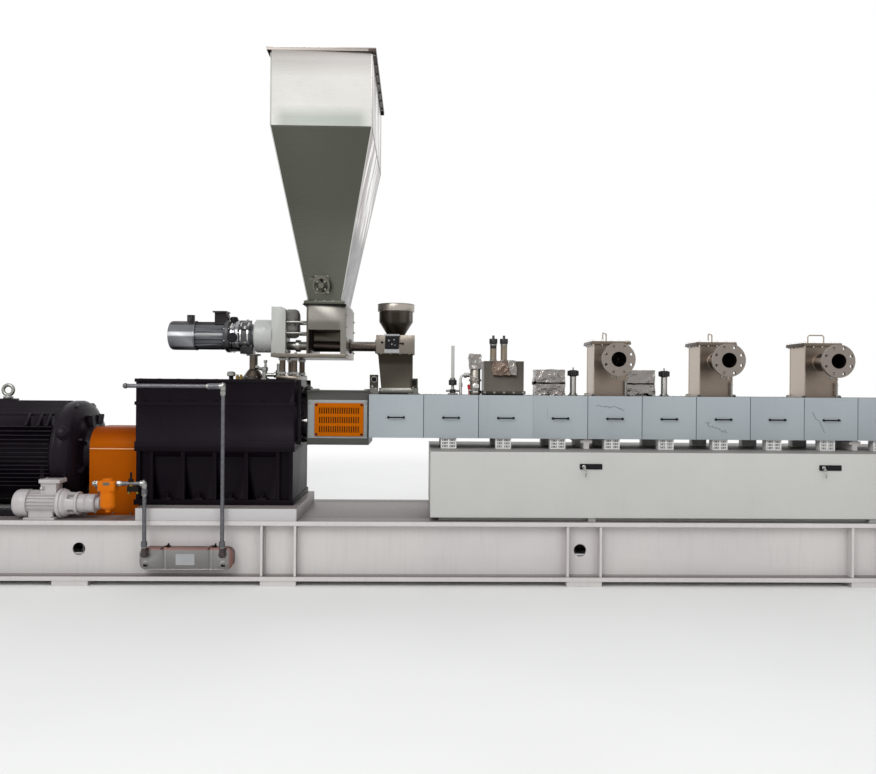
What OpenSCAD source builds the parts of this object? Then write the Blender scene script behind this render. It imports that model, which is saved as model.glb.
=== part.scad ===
// Co-rotating twin-screw compounding extruder on a welded base, with drive, screw feeder and vents.
// X runs along the machine from the main motor to the discharge, Y to the rear, Z up from the floor.
// The origin lies on the floor under the middle of the base, below the barrel centreline.

/* [Base frame] */
// Length of the base frame
base_len = 7900; // [7860:20:8200]
// Width of the base frame over both side beams
base_w = 1080; // [1060:10:1120]
// Height of the side beams without the foot pads
beam_h = 402; // [360:2:440]
// Width of a beam flange
beam_flange_w = 150; // [120:5:180]
// Thickness of a beam flange
beam_flange_t = 30; // [16:1:34]
// Thickness of a beam web
beam_web_t = 14; // [8:1:20]
// Thickness of a beam stiffener
stiffener_t = 16; // [10:1:20]
// Length of a foot pad
foot_len = 240; // [180:5:260]
// Height of a foot pad
foot_h = 35; // [20:1:60]
// Thickness of the deck plate
deck_t = 12; // [6:1:20]
// Radius of the cable holes in the webs
web_hole_r = 42; // [25:1:60]

/* [Drive] */
// Height of the main motor shaft above its feet
motor_shaft_h = 408; // [400:1:420]
// Radius of the main motor frame over its fins
motor_r = 380; // [350:5:390]
// Length of the finned motor frame
motor_frame_len = 985; // [900:5:1000]
// Depth of the cooling fins
fin_depth = 42; // [30:1:50]
// Pitch of the cooling fins
fin_pitch = 29; // [24:1:36]
// Thickness of a cooling fin
fin_t = 6; // [4:1:10]
// Length of the rear fan cowl
cowl_len = 270; // [220:5:280]
// Length of the drive end shield
shield_len = 188; // [170:2:200]
// Length of the coupling guard
guard_len = 345; // [320:5:350]
// Height of the coupling guard above the deck
guard_h = 605; // [590:5:640]
// Width of the coupling guard
guard_w = 524; // [500:4:560]
// Length of the gearbox
gearbox_len = 1100; // [1080:5:1120]
// Width of the gearbox
gearbox_w = 720; // [680:10:760]
// Height of the gearbox
gearbox_h = 868; // [860:2:900]
// Height of the gearbox joint above the pedestal
gearbox_split_h = 402; // [380:2:420]
// Height of the raised pedestal under the gearbox
pedestal_h = 83; // [60:1:100]
// Length of the lantern between gearbox and barrel
lantern_len = 436; // [420:2:460]
// Width of the lantern
lantern_w = 470; // [450:2:490]

/* [Oil system] */
// Height of the pump axis above the deck
pump_axis_h = 103; // [100:1:120]
// Outer radius of the oil pipes
pipe_r = 13.5; // [10:0.5:16]
// Clear distance of the oil pipes from the base frame
pipe_gap = 28.5; // [20:0.5:40]
// Length of the oil cooler
cooler_len = 616; // [580:2:640]
// Height of the oil cooler
cooler_h = 146; // [130:2:160]
// Thickness of the oil cooler over its plates
cooler_t = 85; // [70:1:95]

/* [Barrel line] */
// Number of barrel modules
module_count = 11; // [10:1:11]
// Length of one barrel module, four screw diameters
module_len = 388; // [380:1:388]
// Height of the screw axes above the floor
axis_z = 1137; // [1120:1:1150]
// Distance of the last barrel flange from the end of the base
end_margin = 85; // [70:1:120]
// Width of a barrel block
barrel_w = 250; // [230:2:280]
// Height of a barrel block
barrel_h = 236; // [220:2:250]
// Thickness of a barrel flange
barrel_flange_t = 40; // [30:1:50]
// Depth of a cover from the barrel centreline
cover_depth = 270; // [255:1:290]
// Height of a cover
cover_h = 305; // [290:1:312]
// Gap between two covers
cover_gap = 5; // [2:1:12]
// Sheet thickness of the covers
cover_t = 3; // [2:0.5:5]
// Reach of a cover handle
handle_reach = 22; // [18:1:30]
// Outer radius of the discharge flange
discharge_r = 165; // [158:1:175]
// Thickness of the discharge flange
discharge_len = 42; // [35:1:50]

/* [Trunk cabinet] */
// Height of the cabinet top above the deck
trunk_h = 473; // [440:1:475]
// Depth of the cabinet
trunk_w = 1040; // [960:10:1050]
// Height of the recessed plinth under the cabinet
plinth_h = 26; // [16:1:40]

/* [Feeding] */
// Height of the feeder base plate above the gearbox
feeder_h = 182; // [170:1:200]
// Height of the screw axis above the feeder base plate
feed_screw_h = 69; // [60:1:80]
// Height of the feeder motor axis above the feeder base plate
feed_motor_h = 138; // [130:1:150]
// Height of the feeder chamber
chamber_h = 346; // [330:2:370]
// Width of the supply hopper box
hopper_w = 668; // [600:2:700]
// Depth of the supply hopper box
hopper_d = 1216; // [1100:2:1230]
// Height of the straight upper part of the supply hopper
hopper_box_h = 515; // [400:5:600]
// Height of the tapered part of the supply hopper
hopper_taper_h = 1130; // [1000:5:1200]
// Width of the supply hopper outlet
outlet_w = 230; // [210:2:250]
// Depth of the supply hopper outlet
outlet_d = 660; // [600:4:700]
// Sheet thickness of the hoppers
sheet_t = 4; // [2:0.5:6]
// Width of the rim flange of the supply hopper
rim_w = 27; // [20:1:30]
// Radius of the screw tube
screw_tube_r = 36; // [30:1:40]
// Radius of the round feed hopper
feed_r = 124; // [110:1:130]

/* [Vents] */
// Width of a vent stack, square in plan
vent_w = 240; // [220:2:250]
// Height of a vent stack above the covers
vent_h = 386; // [370:2:400]
// Wall thickness of a vent stack
vent_wall = 5; // [4:0.5:8]
// Overhang of the top flange of a vent stack
vent_rim = 45; // [30:1:50]
// Distance of a vent flange face from the barrel centreline
vent_reach = 372; // [340:2:400]
// Height of the vent flange axis above the covers
vent_axis_h = 258.5; // [240:0.5:262]
// Outer radius of a vent flange
vent_flange_r = 117.5; // [115:0.5:122]
// Thickness of a vent flange
vent_flange_t = 22; // [16:1:28]
// Pitch circle diameter of the vent flange holes
vent_pcd = 190; // [185:1:196]
// Radius of a hole in the vent flange
vent_hole_r = 11; // [8:0.5:12]
// Radius of the vent bore
vent_bore_r = 53; // [40:1:56]
// Outer radius of the neck behind a vent flange
vent_neck_r = 78; // [70:1:80]

/* [Hidden] */
$fn = 48;

// Play between seated pieces
fit = 0.3;
// Levels
deck_z = foot_h + beam_h;
pedestal_z = deck_z + pedestal_h;
gearbox_split = pedestal_z + gearbox_split_h;
gearbox_top = pedestal_z + gearbox_h;
shaft_z = deck_z + motor_shaft_h;
cover_z0 = axis_z - cover_h / 2;
cover_z1 = axis_z + cover_h / 2;
barrel_top = axis_z + barrel_h / 2;
trunk_top = deck_z + trunk_h;
feeder_z = gearbox_top + feeder_h;
feed_screw_z = feeder_z + feed_screw_h;
feed_motor_z = feeder_z + feed_motor_h;
chamber_top = feeder_z + chamber_h;
// Half height and half width of a barrel flange, which the covers close round
flange_hz = cover_h / 2 - cover_t - fit;
flange_hy = barrel_w / 2 + 40;
// Stations along the machine, counted back from the discharge end
barrel_x1 = base_len / 2 - end_margin;
barrel_x0 = barrel_x1 - module_count * module_len;
output_len = 66;
output_plate_t = 26;
gearbox_x1 = barrel_x0 - lantern_len - output_len;
gearbox_x0 = gearbox_x1 - gearbox_len;
guard_x0 = gearbox_x0 - guard_len - fit;
coupling_gap = 15;
shield_x0 = guard_x0 - shield_len - coupling_gap;
frame_x0 = shield_x0 - motor_frame_len;
lantern_x0 = gearbox_x1 + output_len;
trunk_x0 = barrel_x0 + module_len + 48;
trunk_x1 = base_len / 2 - 50;
hopper_x = gearbox_x1 + 195;
feed_x = barrel_x0 + 181;

function module_mid(k) = barrel_x0 + (k - 0.5) * module_len;
function seam_x(k) = barrel_x0 + k * module_len;

// Block given by its two corners
module block(x0, x1, y0, y1, z0, z1) translate([x0, y0, z0]) cube([x1 - x0, y1 - y0, z1 - z0]);
// Round bar along X, Y or Z
module rod_x(x0, x1, y, z, r) translate([x0, y, z]) rotate([0, 90, 0]) cylinder(r = r, h = x1 - x0);
module rod_y(x, y0, y1, z, r) translate([x, y1, z]) rotate([90, 0, 0]) cylinder(r = r, h = y1 - y0);
module rod_z(x, y, z0, z1, r) translate([x, y, z0]) cylinder(r = r, h = z1 - z0);
// Round bar between two points
module rod_between(p, q, r) {
    d = q - p;
    translate(p) rotate([0, acos(d[2] / norm(d)), atan2(d[1], d[0])]) cylinder(r = r, h = norm(d));
}
// Profile of distance along X and radius, turned about a line along X
module turned_x(x, y, z) translate([x, y, z]) rotate([0, 90, 0]) rotate_extrude() rotate([0, 0, 90])
    mirror([0, 1, 0]) children();
// Profile drawn in Y and Z, carried along X
module along_x(x0, x1) translate([x0, 0, 0]) rotate([90, 0, 90]) linear_extrude(x1 - x0) children();
// Profile drawn in X and Z, carried along Y
module along_y(y0, y1) translate([0, y1, 0]) rotate([90, 0, 0]) linear_extrude(y1 - y0) children();
// Rectangle between two corners with round corners
module soft_rect(x0, y0, x1, y1, r) {
    translate([x0 + r, y0]) square([x1 - x0 - 2 * r, y1 - y0]);
    translate([x0, y0 + r]) square([x1 - x0, y1 - y0 - 2 * r]);
    for (x = [x0 + r, x1 - r], y = [y0 + r, y1 - r]) translate([x, y]) circle(r = r);
}
// Loft between two level rectangles, each given by its X range, Y range and height
module loft(a, b) hull() {
    translate([a[0], a[2], a[4]]) cube([a[1] - a[0], a[3] - a[2], 0.01]);
    translate([b[0], b[2], b[4] - 0.01]) cube([b[1] - b[0], b[3] - b[2], 0.01]);
}

// Welded side beam with its stiffeners and foot pads, front side at negative Y
foot_x = [-base_len / 2 + foot_len / 2 + 20, gearbox_x0 - 362, gearbox_x1 - 80, seam_x(4) - 71, seam_x(9) - 59,
    base_len / 2 - foot_len / 2 - 20];
web_y = -base_w / 2 + beam_flange_w / 2;
web_hole_x = [foot_x[1] + 35, foot_x[3] - 18];
module side_beam() {
    y0 = -base_w / 2;
    y1 = y0 + beam_flange_w;
    inset = 6;
    stiffener_x = foot_len / 2 - stiffener_t;
    difference() {
        union() {
            block(-base_len / 2, base_len / 2, y0, y1, foot_h, foot_h + beam_flange_t);
            block(-base_len / 2, base_len / 2, y0, y1, deck_z - beam_flange_t, deck_z);
            block(-base_len / 2, base_len / 2, web_y - beam_web_t / 2, web_y + beam_web_t / 2, foot_h, deck_z);
            for (x = foot_x) {
                block(x - foot_len / 2, x + foot_len / 2, y0 + inset, y1 - inset, 0, foot_h);
                for (side = [0, 1]) mirror([side, 0, 0]) {
                    s = side == 0 ? x : -x;
                    block(s + stiffener_x, s + stiffener_x + stiffener_t, y0 + inset, y1 - inset, foot_h, deck_z);
                }
            }
        }
        for (x = web_hole_x) rod_y(x, y0 - 1, y1 + 1, foot_h + beam_h / 2, web_hole_r);
    }
}

module base_front_beam() color("gainsboro") side_beam();

module base_rear_beam() color("gainsboro") mirror([0, 1, 0]) side_beam();

// Cross members of I section between the side beams
module base_cross_members() color("gainsboro") {
    count = 11;
    end_inset = 60;
    flange_w = 100;
    half = base_w / 2 - beam_flange_w;
    top = deck_z - deck_t;
    for (i = [0:count - 1]) {
        x = -base_len / 2 + end_inset + i * (base_len - 2 * end_inset) / (count - 1);
        block(x - flange_w / 2, x + flange_w / 2, -half, half, foot_h, foot_h + beam_flange_t);
        block(x - beam_web_t / 2, x + beam_web_t / 2, -half, half, foot_h, top);
        block(x - flange_w / 2, x + flange_w / 2, -half, half, top - beam_flange_t, top);
    }
}

module base_deck() color("gainsboro")
    block(-base_len / 2, base_len / 2, -base_w / 2 + beam_flange_w, base_w / 2 - beam_flange_w,
        deck_z - deck_t, deck_z);

// Raised box under the gearbox, flush with the front beam
pedestal_x0 = gearbox_x0 + 65;
pedestal_x1 = gearbox_x1 + 43;
foot_flange = 22;
module gearbox_pedestal() color("gainsboro") {
    front = -base_w / 2 + 3;
    rear = gearbox_w / 2 + foot_flange + 18;
    edge_r = 14;
    translate([0, 0, deck_z]) linear_extrude(pedestal_h) soft_rect(pedestal_x0, front, pedestal_x1, rear, edge_r);
}

// Main motor frame with parallel cooling fins, cast feet and the terminal box at the rear
module motor_frame() color("#1b191e") {
    core_r = motor_r - fin_depth;
    fin_x0 = frame_x0 + 24;
    fin_x1 = shield_x0 - 34;
    ring_t = 30;
    flank = 7;
    top = 9;
    rod_x(frame_x0, shield_x0, 0, shaft_z, core_r);
    for (x = [frame_x0, shield_x0 - ring_t]) rod_x(x, x + ring_t, 0, shaft_z, motor_r - 8);
    for (i = [-flank:flank]) {
        z = i * fin_pitch;
        reach = sqrt(motor_r * motor_r - z * z);
        block(fin_x0, fin_x1, -reach, reach, shaft_z + z - fin_t / 2, shaft_z + z + fin_t / 2);
    }
    for (i = [-top:top]) {
        y = i * fin_pitch;
        reach = sqrt(motor_r * motor_r - y * y);
        block(fin_x0, fin_x1, y - fin_t / 2, y + fin_t / 2, shaft_z, shaft_z + reach);
    }
    motor_feet();
    // Ribbed shoulder lugs beside the drive end
    for (side = [-1, 1], dx = [70, 130, 215])
        along_x(shield_x0 - dx - 9, shield_x0 - dx + 9) polygon([[side * 230, shaft_z + 150],
            [side * 322, shaft_z + 212], [side * 248, shaft_z + 296], [side * 180, shaft_z + 240]]);
    block(eye_x - 50, eye_x + 50, -60, 60, shaft_z + motor_r - 60, eye_z);
    terminal_box();
}

// Cast feet with webs up to the frame
module motor_feet() {
    foot_y = 300;
    foot_w = 150;
    foot_t = 36;
    web_t = 28;
    for (side = [-1, 1]) {
        block(frame_x0 + 40, shield_x0 - 20, side * foot_y - foot_w / 2, side * foot_y + foot_w / 2,
            deck_z, deck_z + foot_t);
        for (x = [frame_x0 + 90, (frame_x0 + shield_x0) / 2, shield_x0 - 90])
            along_x(x - web_t / 2, x + web_t / 2) polygon([[side * 200, shaft_z - 220], [side * 330, shaft_z - 60],
                [side * (foot_y + 68), deck_z + foot_t - 4], [side * (foot_y - 70), deck_z + foot_t - 4]]);
    }
}

module terminal_box() {
    box_w = 340;
    box_y = motor_r + 170;
    mid = (frame_x0 + shield_x0) / 2;
    along_y(300, box_y - 16) soft_rect(mid - box_w / 2, shaft_z - 40, mid + box_w / 2, shaft_z + 210, 24);
    along_y(box_y - 16, box_y) soft_rect(mid - box_w / 2 - 10, shaft_z - 50, mid + box_w / 2 + 10, shaft_z + 220, 28);
}

// Domed drive end shield with a bearing boss, ribs and bolting lugs
module motor_end_shield() color("#1b191e") {
    boss_r = 205;
    rim_r = motor_r;
    lugs = 8;
    turned_x(shield_x0, 0, shaft_z) polygon([[0, 0], [0, rim_r], [50, rim_r], [84, rim_r - 18], [112, rim_r - 60],
        [124, boss_r + 75], [130, boss_r + 25], [140, boss_r + 7], [shield_len, boss_r], [shield_len, 0]]);
    for (i = [0:lugs - 1]) translate([shield_x0, 0, shaft_z]) rotate([(i + 0.5) * 360 / lugs, 0, 0]) {
        translate([124, -8, boss_r - 5]) cube([34, 16, 100]);
        translate([44, -26, rim_r - 46]) cube([34, 52, 44]);
    }
}

// Fan cowl with a rounded rear edge and air slots
module motor_fan_cowl() color("#1b191e") {
    rim = 18;
    slot_pitch = 42;
    slot_h = 26;
    slot_r = 260;
    difference() {
        turned_x(frame_x0 - cowl_len, 0, shaft_z) polygon([[0, 0], [0, motor_r - 80], [12, motor_r - 40],
            [40, motor_r - rim], [cowl_len, motor_r - rim + 4], [cowl_len, 0]]);
        for (i = [-5:5]) {
            half = sqrt(slot_r * slot_r - i * i * slot_pitch * slot_pitch);
            block(frame_x0 - cowl_len - 1, frame_x0 - cowl_len + 12, -half, half,
                shaft_z + i * slot_pitch - slot_h / 2, shaft_z + i * slot_pitch + slot_h / 2);
        }
    }
}

eye_x = (frame_x0 + shield_x0) / 2;
eye_z = shaft_z + motor_r + 12;
module motor_lifting_eye() color("silver") {
    ring_r = 36;
    bar_r = 13;
    collar_h = 16;
    rod_z(eye_x, 0, eye_z, eye_z + collar_h, 34);
    rod_z(eye_x, 0, eye_z + collar_h, eye_z + collar_h + 6, 22);
    translate([eye_x, 0, eye_z + ring_r + 2 * bar_r]) rotate([90, 0, 0]) rotate_extrude()
        translate([ring_r, 0]) circle(r = bar_r);
}

// Arched sheet guard over the coupling with a bolting strip on each side
module coupling_guard() color("darkorange") {
    top = deck_z + guard_h;
    half = guard_w / 2;
    arch_r = 145;
    strip_w = 40;
    strip_t = 8;
    bead_h = 10;
    along_x(guard_x0, guard_x0 + guard_len) {
        translate([-half, deck_z]) square([guard_w, guard_h - arch_r]);
        translate([-half + arch_r, deck_z]) square([guard_w - 2 * arch_r, guard_h]);
        for (side = [-1, 1]) translate([side * (half - arch_r), top - arch_r]) circle(r = arch_r);
    }
    // Folded stiffening bead along the foot of the arch
    for (side = [-1, 1]) {
        along_x(guard_x0 + 2, guard_x0 + guard_len - 2) polygon([[side * (half - 1), top - arch_r - 14],
            [side * (half + bead_h / 2), top - arch_r - 6], [side * (half + bead_h / 2), top - arch_r + 4],
            [side * (half - 3), top - arch_r + 12]]);
        block(guard_x0, guard_x0 + guard_len, side > 0 ? half : -half - strip_w, side > 0 ? half + strip_w : -half,
            deck_z, deck_z + strip_t);
    }
}

// Lower gearbox casting with ribbed bays and bolted feet
module gearbox_lower() color("#1c1920") {
    half = gearbox_w / 2;
    bay = 34;
    ribs = 5;
    rib_t = 26;
    foot_t = 36;
    joint_t = 34;
    end_inset = 28;
    rib_x0 = gearbox_x0 + 113;
    rib_pitch = (gearbox_len - 230) / (ribs - 1);
    block(gearbox_x0 + end_inset, gearbox_x1 - end_inset, -half + bay, half - bay, pedestal_z, gearbox_split);
    block(gearbox_x0 + 4, gearbox_x1 - 4, -half - foot_flange, half + foot_flange, pedestal_z, pedestal_z + foot_t);
    block(gearbox_x0, gearbox_x1, -half - 6, half + 6, gearbox_split - joint_t, gearbox_split);
    for (side = [0, 1]) mirror([0, side, 0]) {
        for (i = [0:ribs - 1])
            block(rib_x0 + i * rib_pitch - rib_t / 2, rib_x0 + i * rib_pitch + rib_t / 2, -half, -half + bay,
                pedestal_z, gearbox_split);
        for (i = [0:ribs - 2]) {
            x = rib_x0 + (i + 0.5) * rib_pitch;
            block(x - 34, x + 34, -half - foot_flange + 4, -half + bay, pedestal_z, pedestal_z + foot_t + 14);
            rod_z(x, -half + 4, pedestal_z, pedestal_z + foot_t + 30, 15);
        }
        // Tapered top of each bay under the joint
        for (i = [0:ribs - 2]) along_x(rib_x0 + i * rib_pitch, rib_x0 + (i + 1) * rib_pitch)
            polygon([[-half - 4, gearbox_split - joint_t], [-half + bay, gearbox_split - joint_t - 40],
                [-half + bay, gearbox_split - joint_t]]);
    }
    for (x = [gearbox_x0 + end_inset - 16, gearbox_x1 - end_inset - 10])
        block(x, x + rib_t, -half, half, pedestal_z, gearbox_split);
}

// Upper gearbox housing with its joint flange, step flange and cover plate
module gearbox_upper() color("#1c1920") {
    half = gearbox_w / 2;
    step_z = gearbox_top - 170;
    joint_t = 34;
    lip = 8;
    plate_t = 24;
    boss_pitch = (gearbox_len - 120) / 6;
    block(gearbox_x0, gearbox_x1, -half - 6, half + 6, gearbox_split, gearbox_split + joint_t);
    block(gearbox_x0 + lip, gearbox_x1 - lip, -half, half, gearbox_split + joint_t, gearbox_top - plate_t);
    block(gearbox_x0, gearbox_x1, -half - lip, half + lip, step_z - 12, step_z + 12);
    block(gearbox_x0, gearbox_x1, -half - lip, half + lip, gearbox_top - plate_t, gearbox_top);
    for (side = [-1, 1], i = [0:6])
        rod_z(gearbox_x0 + 60 + i * boss_pitch, side * (half - 4), step_z + 12, step_z + 24, 14);
    // Breather on the cover plate
    rod_z(gearbox_x0 + 622, -half + 160, gearbox_top, gearbox_top + 22, 16);
}

// Flange of the gearbox that carries the lantern
module gearbox_output_flange() color("#24222a") {
    half = gearbox_w / 2 - 110;
    rod_r = 205;
    block(gearbox_x1, gearbox_x1 + output_plate_t, -half, half, gearbox_split + 8, gearbox_top);
    rod_x(gearbox_x1 + output_plate_t, lantern_x0, 0, axis_z, rod_r);
    for (a = [45:90:315]) translate([gearbox_x1 + output_plate_t, 0, axis_z]) rotate([a, 0, 0])
        translate([0, -12, rod_r - 10]) cube([output_len - output_plate_t, 24, 38]);
}

// Small foot-mounted motor of the oil pump, with its terminal box
pump_y = -base_w / 2 + 94;
pump_z = deck_z + pump_axis_h;
pump_motor_x0 = gearbox_x0 - 760;
pump_cowl_len = 94;
pump_body_len = 200;
pump_flange_t = 24;
pump_x0 = pump_motor_x0 + pump_cowl_len + pump_body_len + pump_flange_t;
module oil_pump_motor() color("ghostwhite") {
    x1 = pump_motor_x0 + pump_cowl_len;
    x2 = x1 + pump_body_len;
    turned_x(pump_motor_x0, pump_y, pump_z) polygon([[0, 0], [0, 66], [6, 80], [16, 88], [30, 92],
        [pump_cowl_len, 92], [pump_cowl_len, 0]]);
    rod_x(x1, x2, pump_y, pump_z, 76);
    // Fins stand on the body from one side of the foot round to the other
    for (a = [-105:15:105]) translate([x1 + 3, pump_y, pump_z]) rotate([a, 0, 0])
        translate([0, -2, 70]) cube([pump_body_len - 6, 4, 18]);
    turned_x(x2, pump_y, pump_z) polygon([[0, 0], [0, 94], [6, 100], [pump_flange_t, 100], [pump_flange_t, 0]]);
    // Terminal box with an overhanging lid
    block(x1 + 92, x2 - 6, pump_y - 50, pump_y + 50, pump_z + 50, pump_z + 140);
    translate([0, 0, pump_z + 140]) linear_extrude(24)
        soft_rect(x1 + 80, pump_y - 62, x1 + 222, pump_y + 62, 10);
    // Foot plate and its two webs
    block(x1 - 10, x2 - 6, pump_y - 80, pump_y + 80, deck_z, deck_z + 14);
    for (side = [-1, 1]) block(x1 + 16, x2 - 24, pump_y + side * 48 - 12, pump_y + side * 48 + 12,
        deck_z + 14, pump_z - 34);
}

// Oil pump behind its slotted bell housing
bell_len = 110;
pump_len = 112;
module oil_pump() color("ghostwhite") {
    pump_r = 62;
    x1 = pump_x0 + bell_len;
    difference() {
        turned_x(pump_x0, pump_y, pump_z) polygon([[0, 0], [0, 92], [20, 92], [40, 76], [bell_len - 12, 72],
            [bell_len - 12, 78], [bell_len, 78], [bell_len, 0]]);
        for (a = [0:90:270]) translate([pump_x0 + 44, pump_y, pump_z]) rotate([a + 45, 0, 0])
            translate([0, -20, 44]) cube([44, 40, 60]);
    }
    turned_x(x1, pump_y, pump_z) polygon([[0, 0], [0, pump_r], [46, pump_r], [48, pump_r - 4], [50, pump_r],
        [pump_len - 6, pump_r], [pump_len, pump_r - 6], [pump_len, 0]]);
    rod_x(x1 + pump_len, suction_x - 20, pump_y, pump_z, 40);
}

// Oil filter with a head block, a bowl with a round bottom and a drain knob
filter_x = gearbox_x0 - 94;
filter_half = 57;
module oil_filter() color("darkorange") {
    head_z = low_pipe_z - 46;
    head_h = 66;
    bowl_r = 50;
    bowl_h = 120;
    translate([0, 0, head_z]) linear_extrude(head_h)
        soft_rect(filter_x - filter_half, pipe_y - 46, filter_x + filter_half, pipe_y + 46, 14);
    rod_z(filter_x, pipe_y, head_z + head_h, head_z + head_h + 14, 34);
    translate([filter_x, pipe_y, head_z - bowl_h]) rotate_extrude() polygon([[0, 0], [30, 0], [42, 6], [bowl_r, 18],
        [bowl_r, bowl_h - 12], [bowl_r - 4, bowl_h - 10], [bowl_r - 4, bowl_h], [0, bowl_h]]);
    rod_z(filter_x, pipe_y, head_z - bowl_h - 20, head_z - bowl_h, 16);
}

// Oil piping between pump, filter, cooler and gearbox, with elbows and unions
pipe_y = -base_w / 2 - pipe_gap - pipe_r;
pipe_left_x = gearbox_x0 + 145;
pipe_right_x = pipe_left_x + 513;
low_pipe_z = deck_z + 253;
top_pipe_z = gearbox_top - 51;
inlet_x = gearbox_x0 + 15;
suction_x = pump_x0 + bell_len + pump_len + 47;
cooler_x0 = pipe_left_x - 38;
cooler_z = foot_h + beam_h / 2 - 48;
cooler_front = web_y - beam_web_t / 2 - cooler_t;
port_z = cooler_z + 34;
module oil_pipes() color("gray") {
    pump_port_z = pump_z + 20;
    elbow_r = pipe_r + 5;
    union_r = pipe_r + 7;
    union_len = 34;
    rod_x(filter_x + filter_half, pipe_left_x, pipe_y, low_pipe_z, pipe_r);
    rod_x(inlet_x, pipe_right_x, pipe_y, top_pipe_z, pipe_r);
    rod_x(suction_x, filter_x - filter_half, pipe_y, low_pipe_z, pipe_r);
    rod_x(suction_x - 20, suction_x, pump_y, pump_port_z, pipe_r);
    rod_between([suction_x, pump_y, pump_port_z], [suction_x, pipe_y, low_pipe_z], pipe_r);
    rod_z(pipe_left_x, pipe_y, port_z, low_pipe_z, pipe_r);
    rod_z(pipe_right_x, pipe_y, port_z, top_pipe_z, pipe_r);
    rod_y(inlet_x, pipe_y, -gearbox_w / 2, top_pipe_z, pipe_r);
    for (x = [pipe_left_x, pipe_right_x]) {
        rod_y(x, pipe_y, cooler_front, port_z, pipe_r);
        rod_z(x, pipe_y, port_z + 52, port_z + 52 + union_len, union_r);
    }
    rod_x(pipe_right_x - 96, pipe_right_x - 96 + 2 * union_len, pipe_y, top_pipe_z, union_r);
    rod_z(pipe_left_x, pipe_y, low_pipe_z - 70, low_pipe_z - 70 + union_len, union_r);
    for (p = [[pipe_left_x, pipe_y, low_pipe_z], [pipe_right_x, pipe_y, top_pipe_z], [pipe_left_x, pipe_y, port_z],
            [pipe_right_x, pipe_y, port_z], [inlet_x, pipe_y, top_pipe_z], [suction_x, pipe_y, low_pipe_z],
            [suction_x, pump_y, pump_port_z]])
        translate(p) sphere(r = elbow_r);
}

// Brazed plate cooler with rounded ends, two straps and blank lower ports
module oil_cooler() color("silver") {
    z0 = cooler_z - cooler_h / 2;
    z1 = cooler_z + cooler_h / 2;
    x1 = cooler_x0 + cooler_len;
    plate_t = 10;
    corner_r = 44;
    strap_w = 26;
    strap_t = 4;
    stud_r = 17;
    stud_len = 16;
    along_y(cooler_front + plate_t, cooler_front + cooler_t) soft_rect(cooler_x0 + 4, z0 + 4, x1 - 4, z1 - 4, corner_r);
    along_y(cooler_front, cooler_front + plate_t) soft_rect(cooler_x0, z0, x1, z1, corner_r);
    for (x = [cooler_x0 + cooler_len * 0.27, cooler_x0 + cooler_len * 0.76])
        block(x - strap_w / 2, x + strap_w / 2, cooler_front - strap_t, cooler_front + cooler_t, z0 - strap_t,
            z1 + strap_t);
    for (x = [pipe_left_x, pipe_right_x])
        rod_y(x, cooler_front - stud_len, cooler_front, z0 + 32, stud_r);
}

// Lantern between gearbox and first barrel module, with a covered window on each side
window_inset = 62;
module lantern_housing() color("slategray") {
    half = lantern_w / 2;
    z0 = cover_z0 - 55;
    z1 = cover_z1 + 27;
    plate_t = 6;
    pocket = 60;
    difference() {
        union() {
            block(lantern_x0, barrel_x0, -half, half, z0, z1);
            block(lantern_x0, barrel_x0, -half - 8, half + 8, z1 - 10, z1);
            block(lantern_x0 + 6, barrel_x0 - 10, -half - plate_t, half + plate_t, cover_z0 - 8, cover_z1 - 41);
        }
        for (side = [0, 1]) mirror([0, side, 0])
            block(lantern_x0 + window_inset + 14, lantern_x0 + window_inset + 318, -half - plate_t - 1,
                -half + pocket, guard_z0 + 18, guard_z1 - 18);
    }
}

// Louvred guard plate with three rows of slots, one on each side of the lantern
guard_z0 = cover_z0 + 6.5;
guard_z1 = guard_z0 + 235;
module lantern_guard() color("darkorange") {
    y0 = -lantern_w / 2 - 14;
    plate_t = 8;
    x0 = lantern_x0 + window_inset - 8;
    x1 = x0 + 345;
    slots = 18;
    slot_w = 7;
    slot_h = 44;
    slot_pitch = 16;
    row_pitch = 66;
    for (side = [0, 1]) mirror([0, side, 0]) difference() {
        block(x0, x1, y0, y0 + plate_t, guard_z0, guard_z1);
        for (row = [0:2], i = [0:slots - 1])
            translate([x0 + 33 + i * slot_pitch, y0 - 1, guard_z0 + 27 + row * row_pitch])
                cube([slot_w, plate_t + 2, slot_h]);
    }
}

// Flanged barrel blocks bolted end to end
module barrel() color("dimgray") {
    for (k = [0:module_count - 1]) {
        x = barrel_x0 + k * module_len;
        block(x, x + module_len, -barrel_w / 2, barrel_w / 2, axis_z - barrel_h / 2, barrel_top);
        for (x0 = [x, x + module_len - barrel_flange_t])
            block(x0, x0 + barrel_flange_t, -flange_hy, flange_hy, axis_z - flange_hz, axis_z + flange_hz);
    }
}

module discharge_flange() color("gray") difference() {
    bolts = 8;
    bolt_r = 11;
    bolt_circle_r = 125;
    bore_r = 52;
    turned_x(barrel_x1, 0, axis_z) polygon([[0, 0], [0, discharge_r], [discharge_len - 4, discharge_r],
        [discharge_len, discharge_r - 4], [discharge_len, 0]]);
    rod_x(barrel_x1 - 1, barrel_x1 + discharge_len + 1, 0, axis_z, bore_r);
    for (i = [0:bolts - 1]) translate([barrel_x1 - 1, 0, axis_z]) rotate([(i + 0.5) * 360 / bolts, 0, 0])
        translate([0, 0, bolt_circle_r]) rotate([0, 90, 0]) cylinder(r = bolt_r, h = discharge_len + 2);
}

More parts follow.
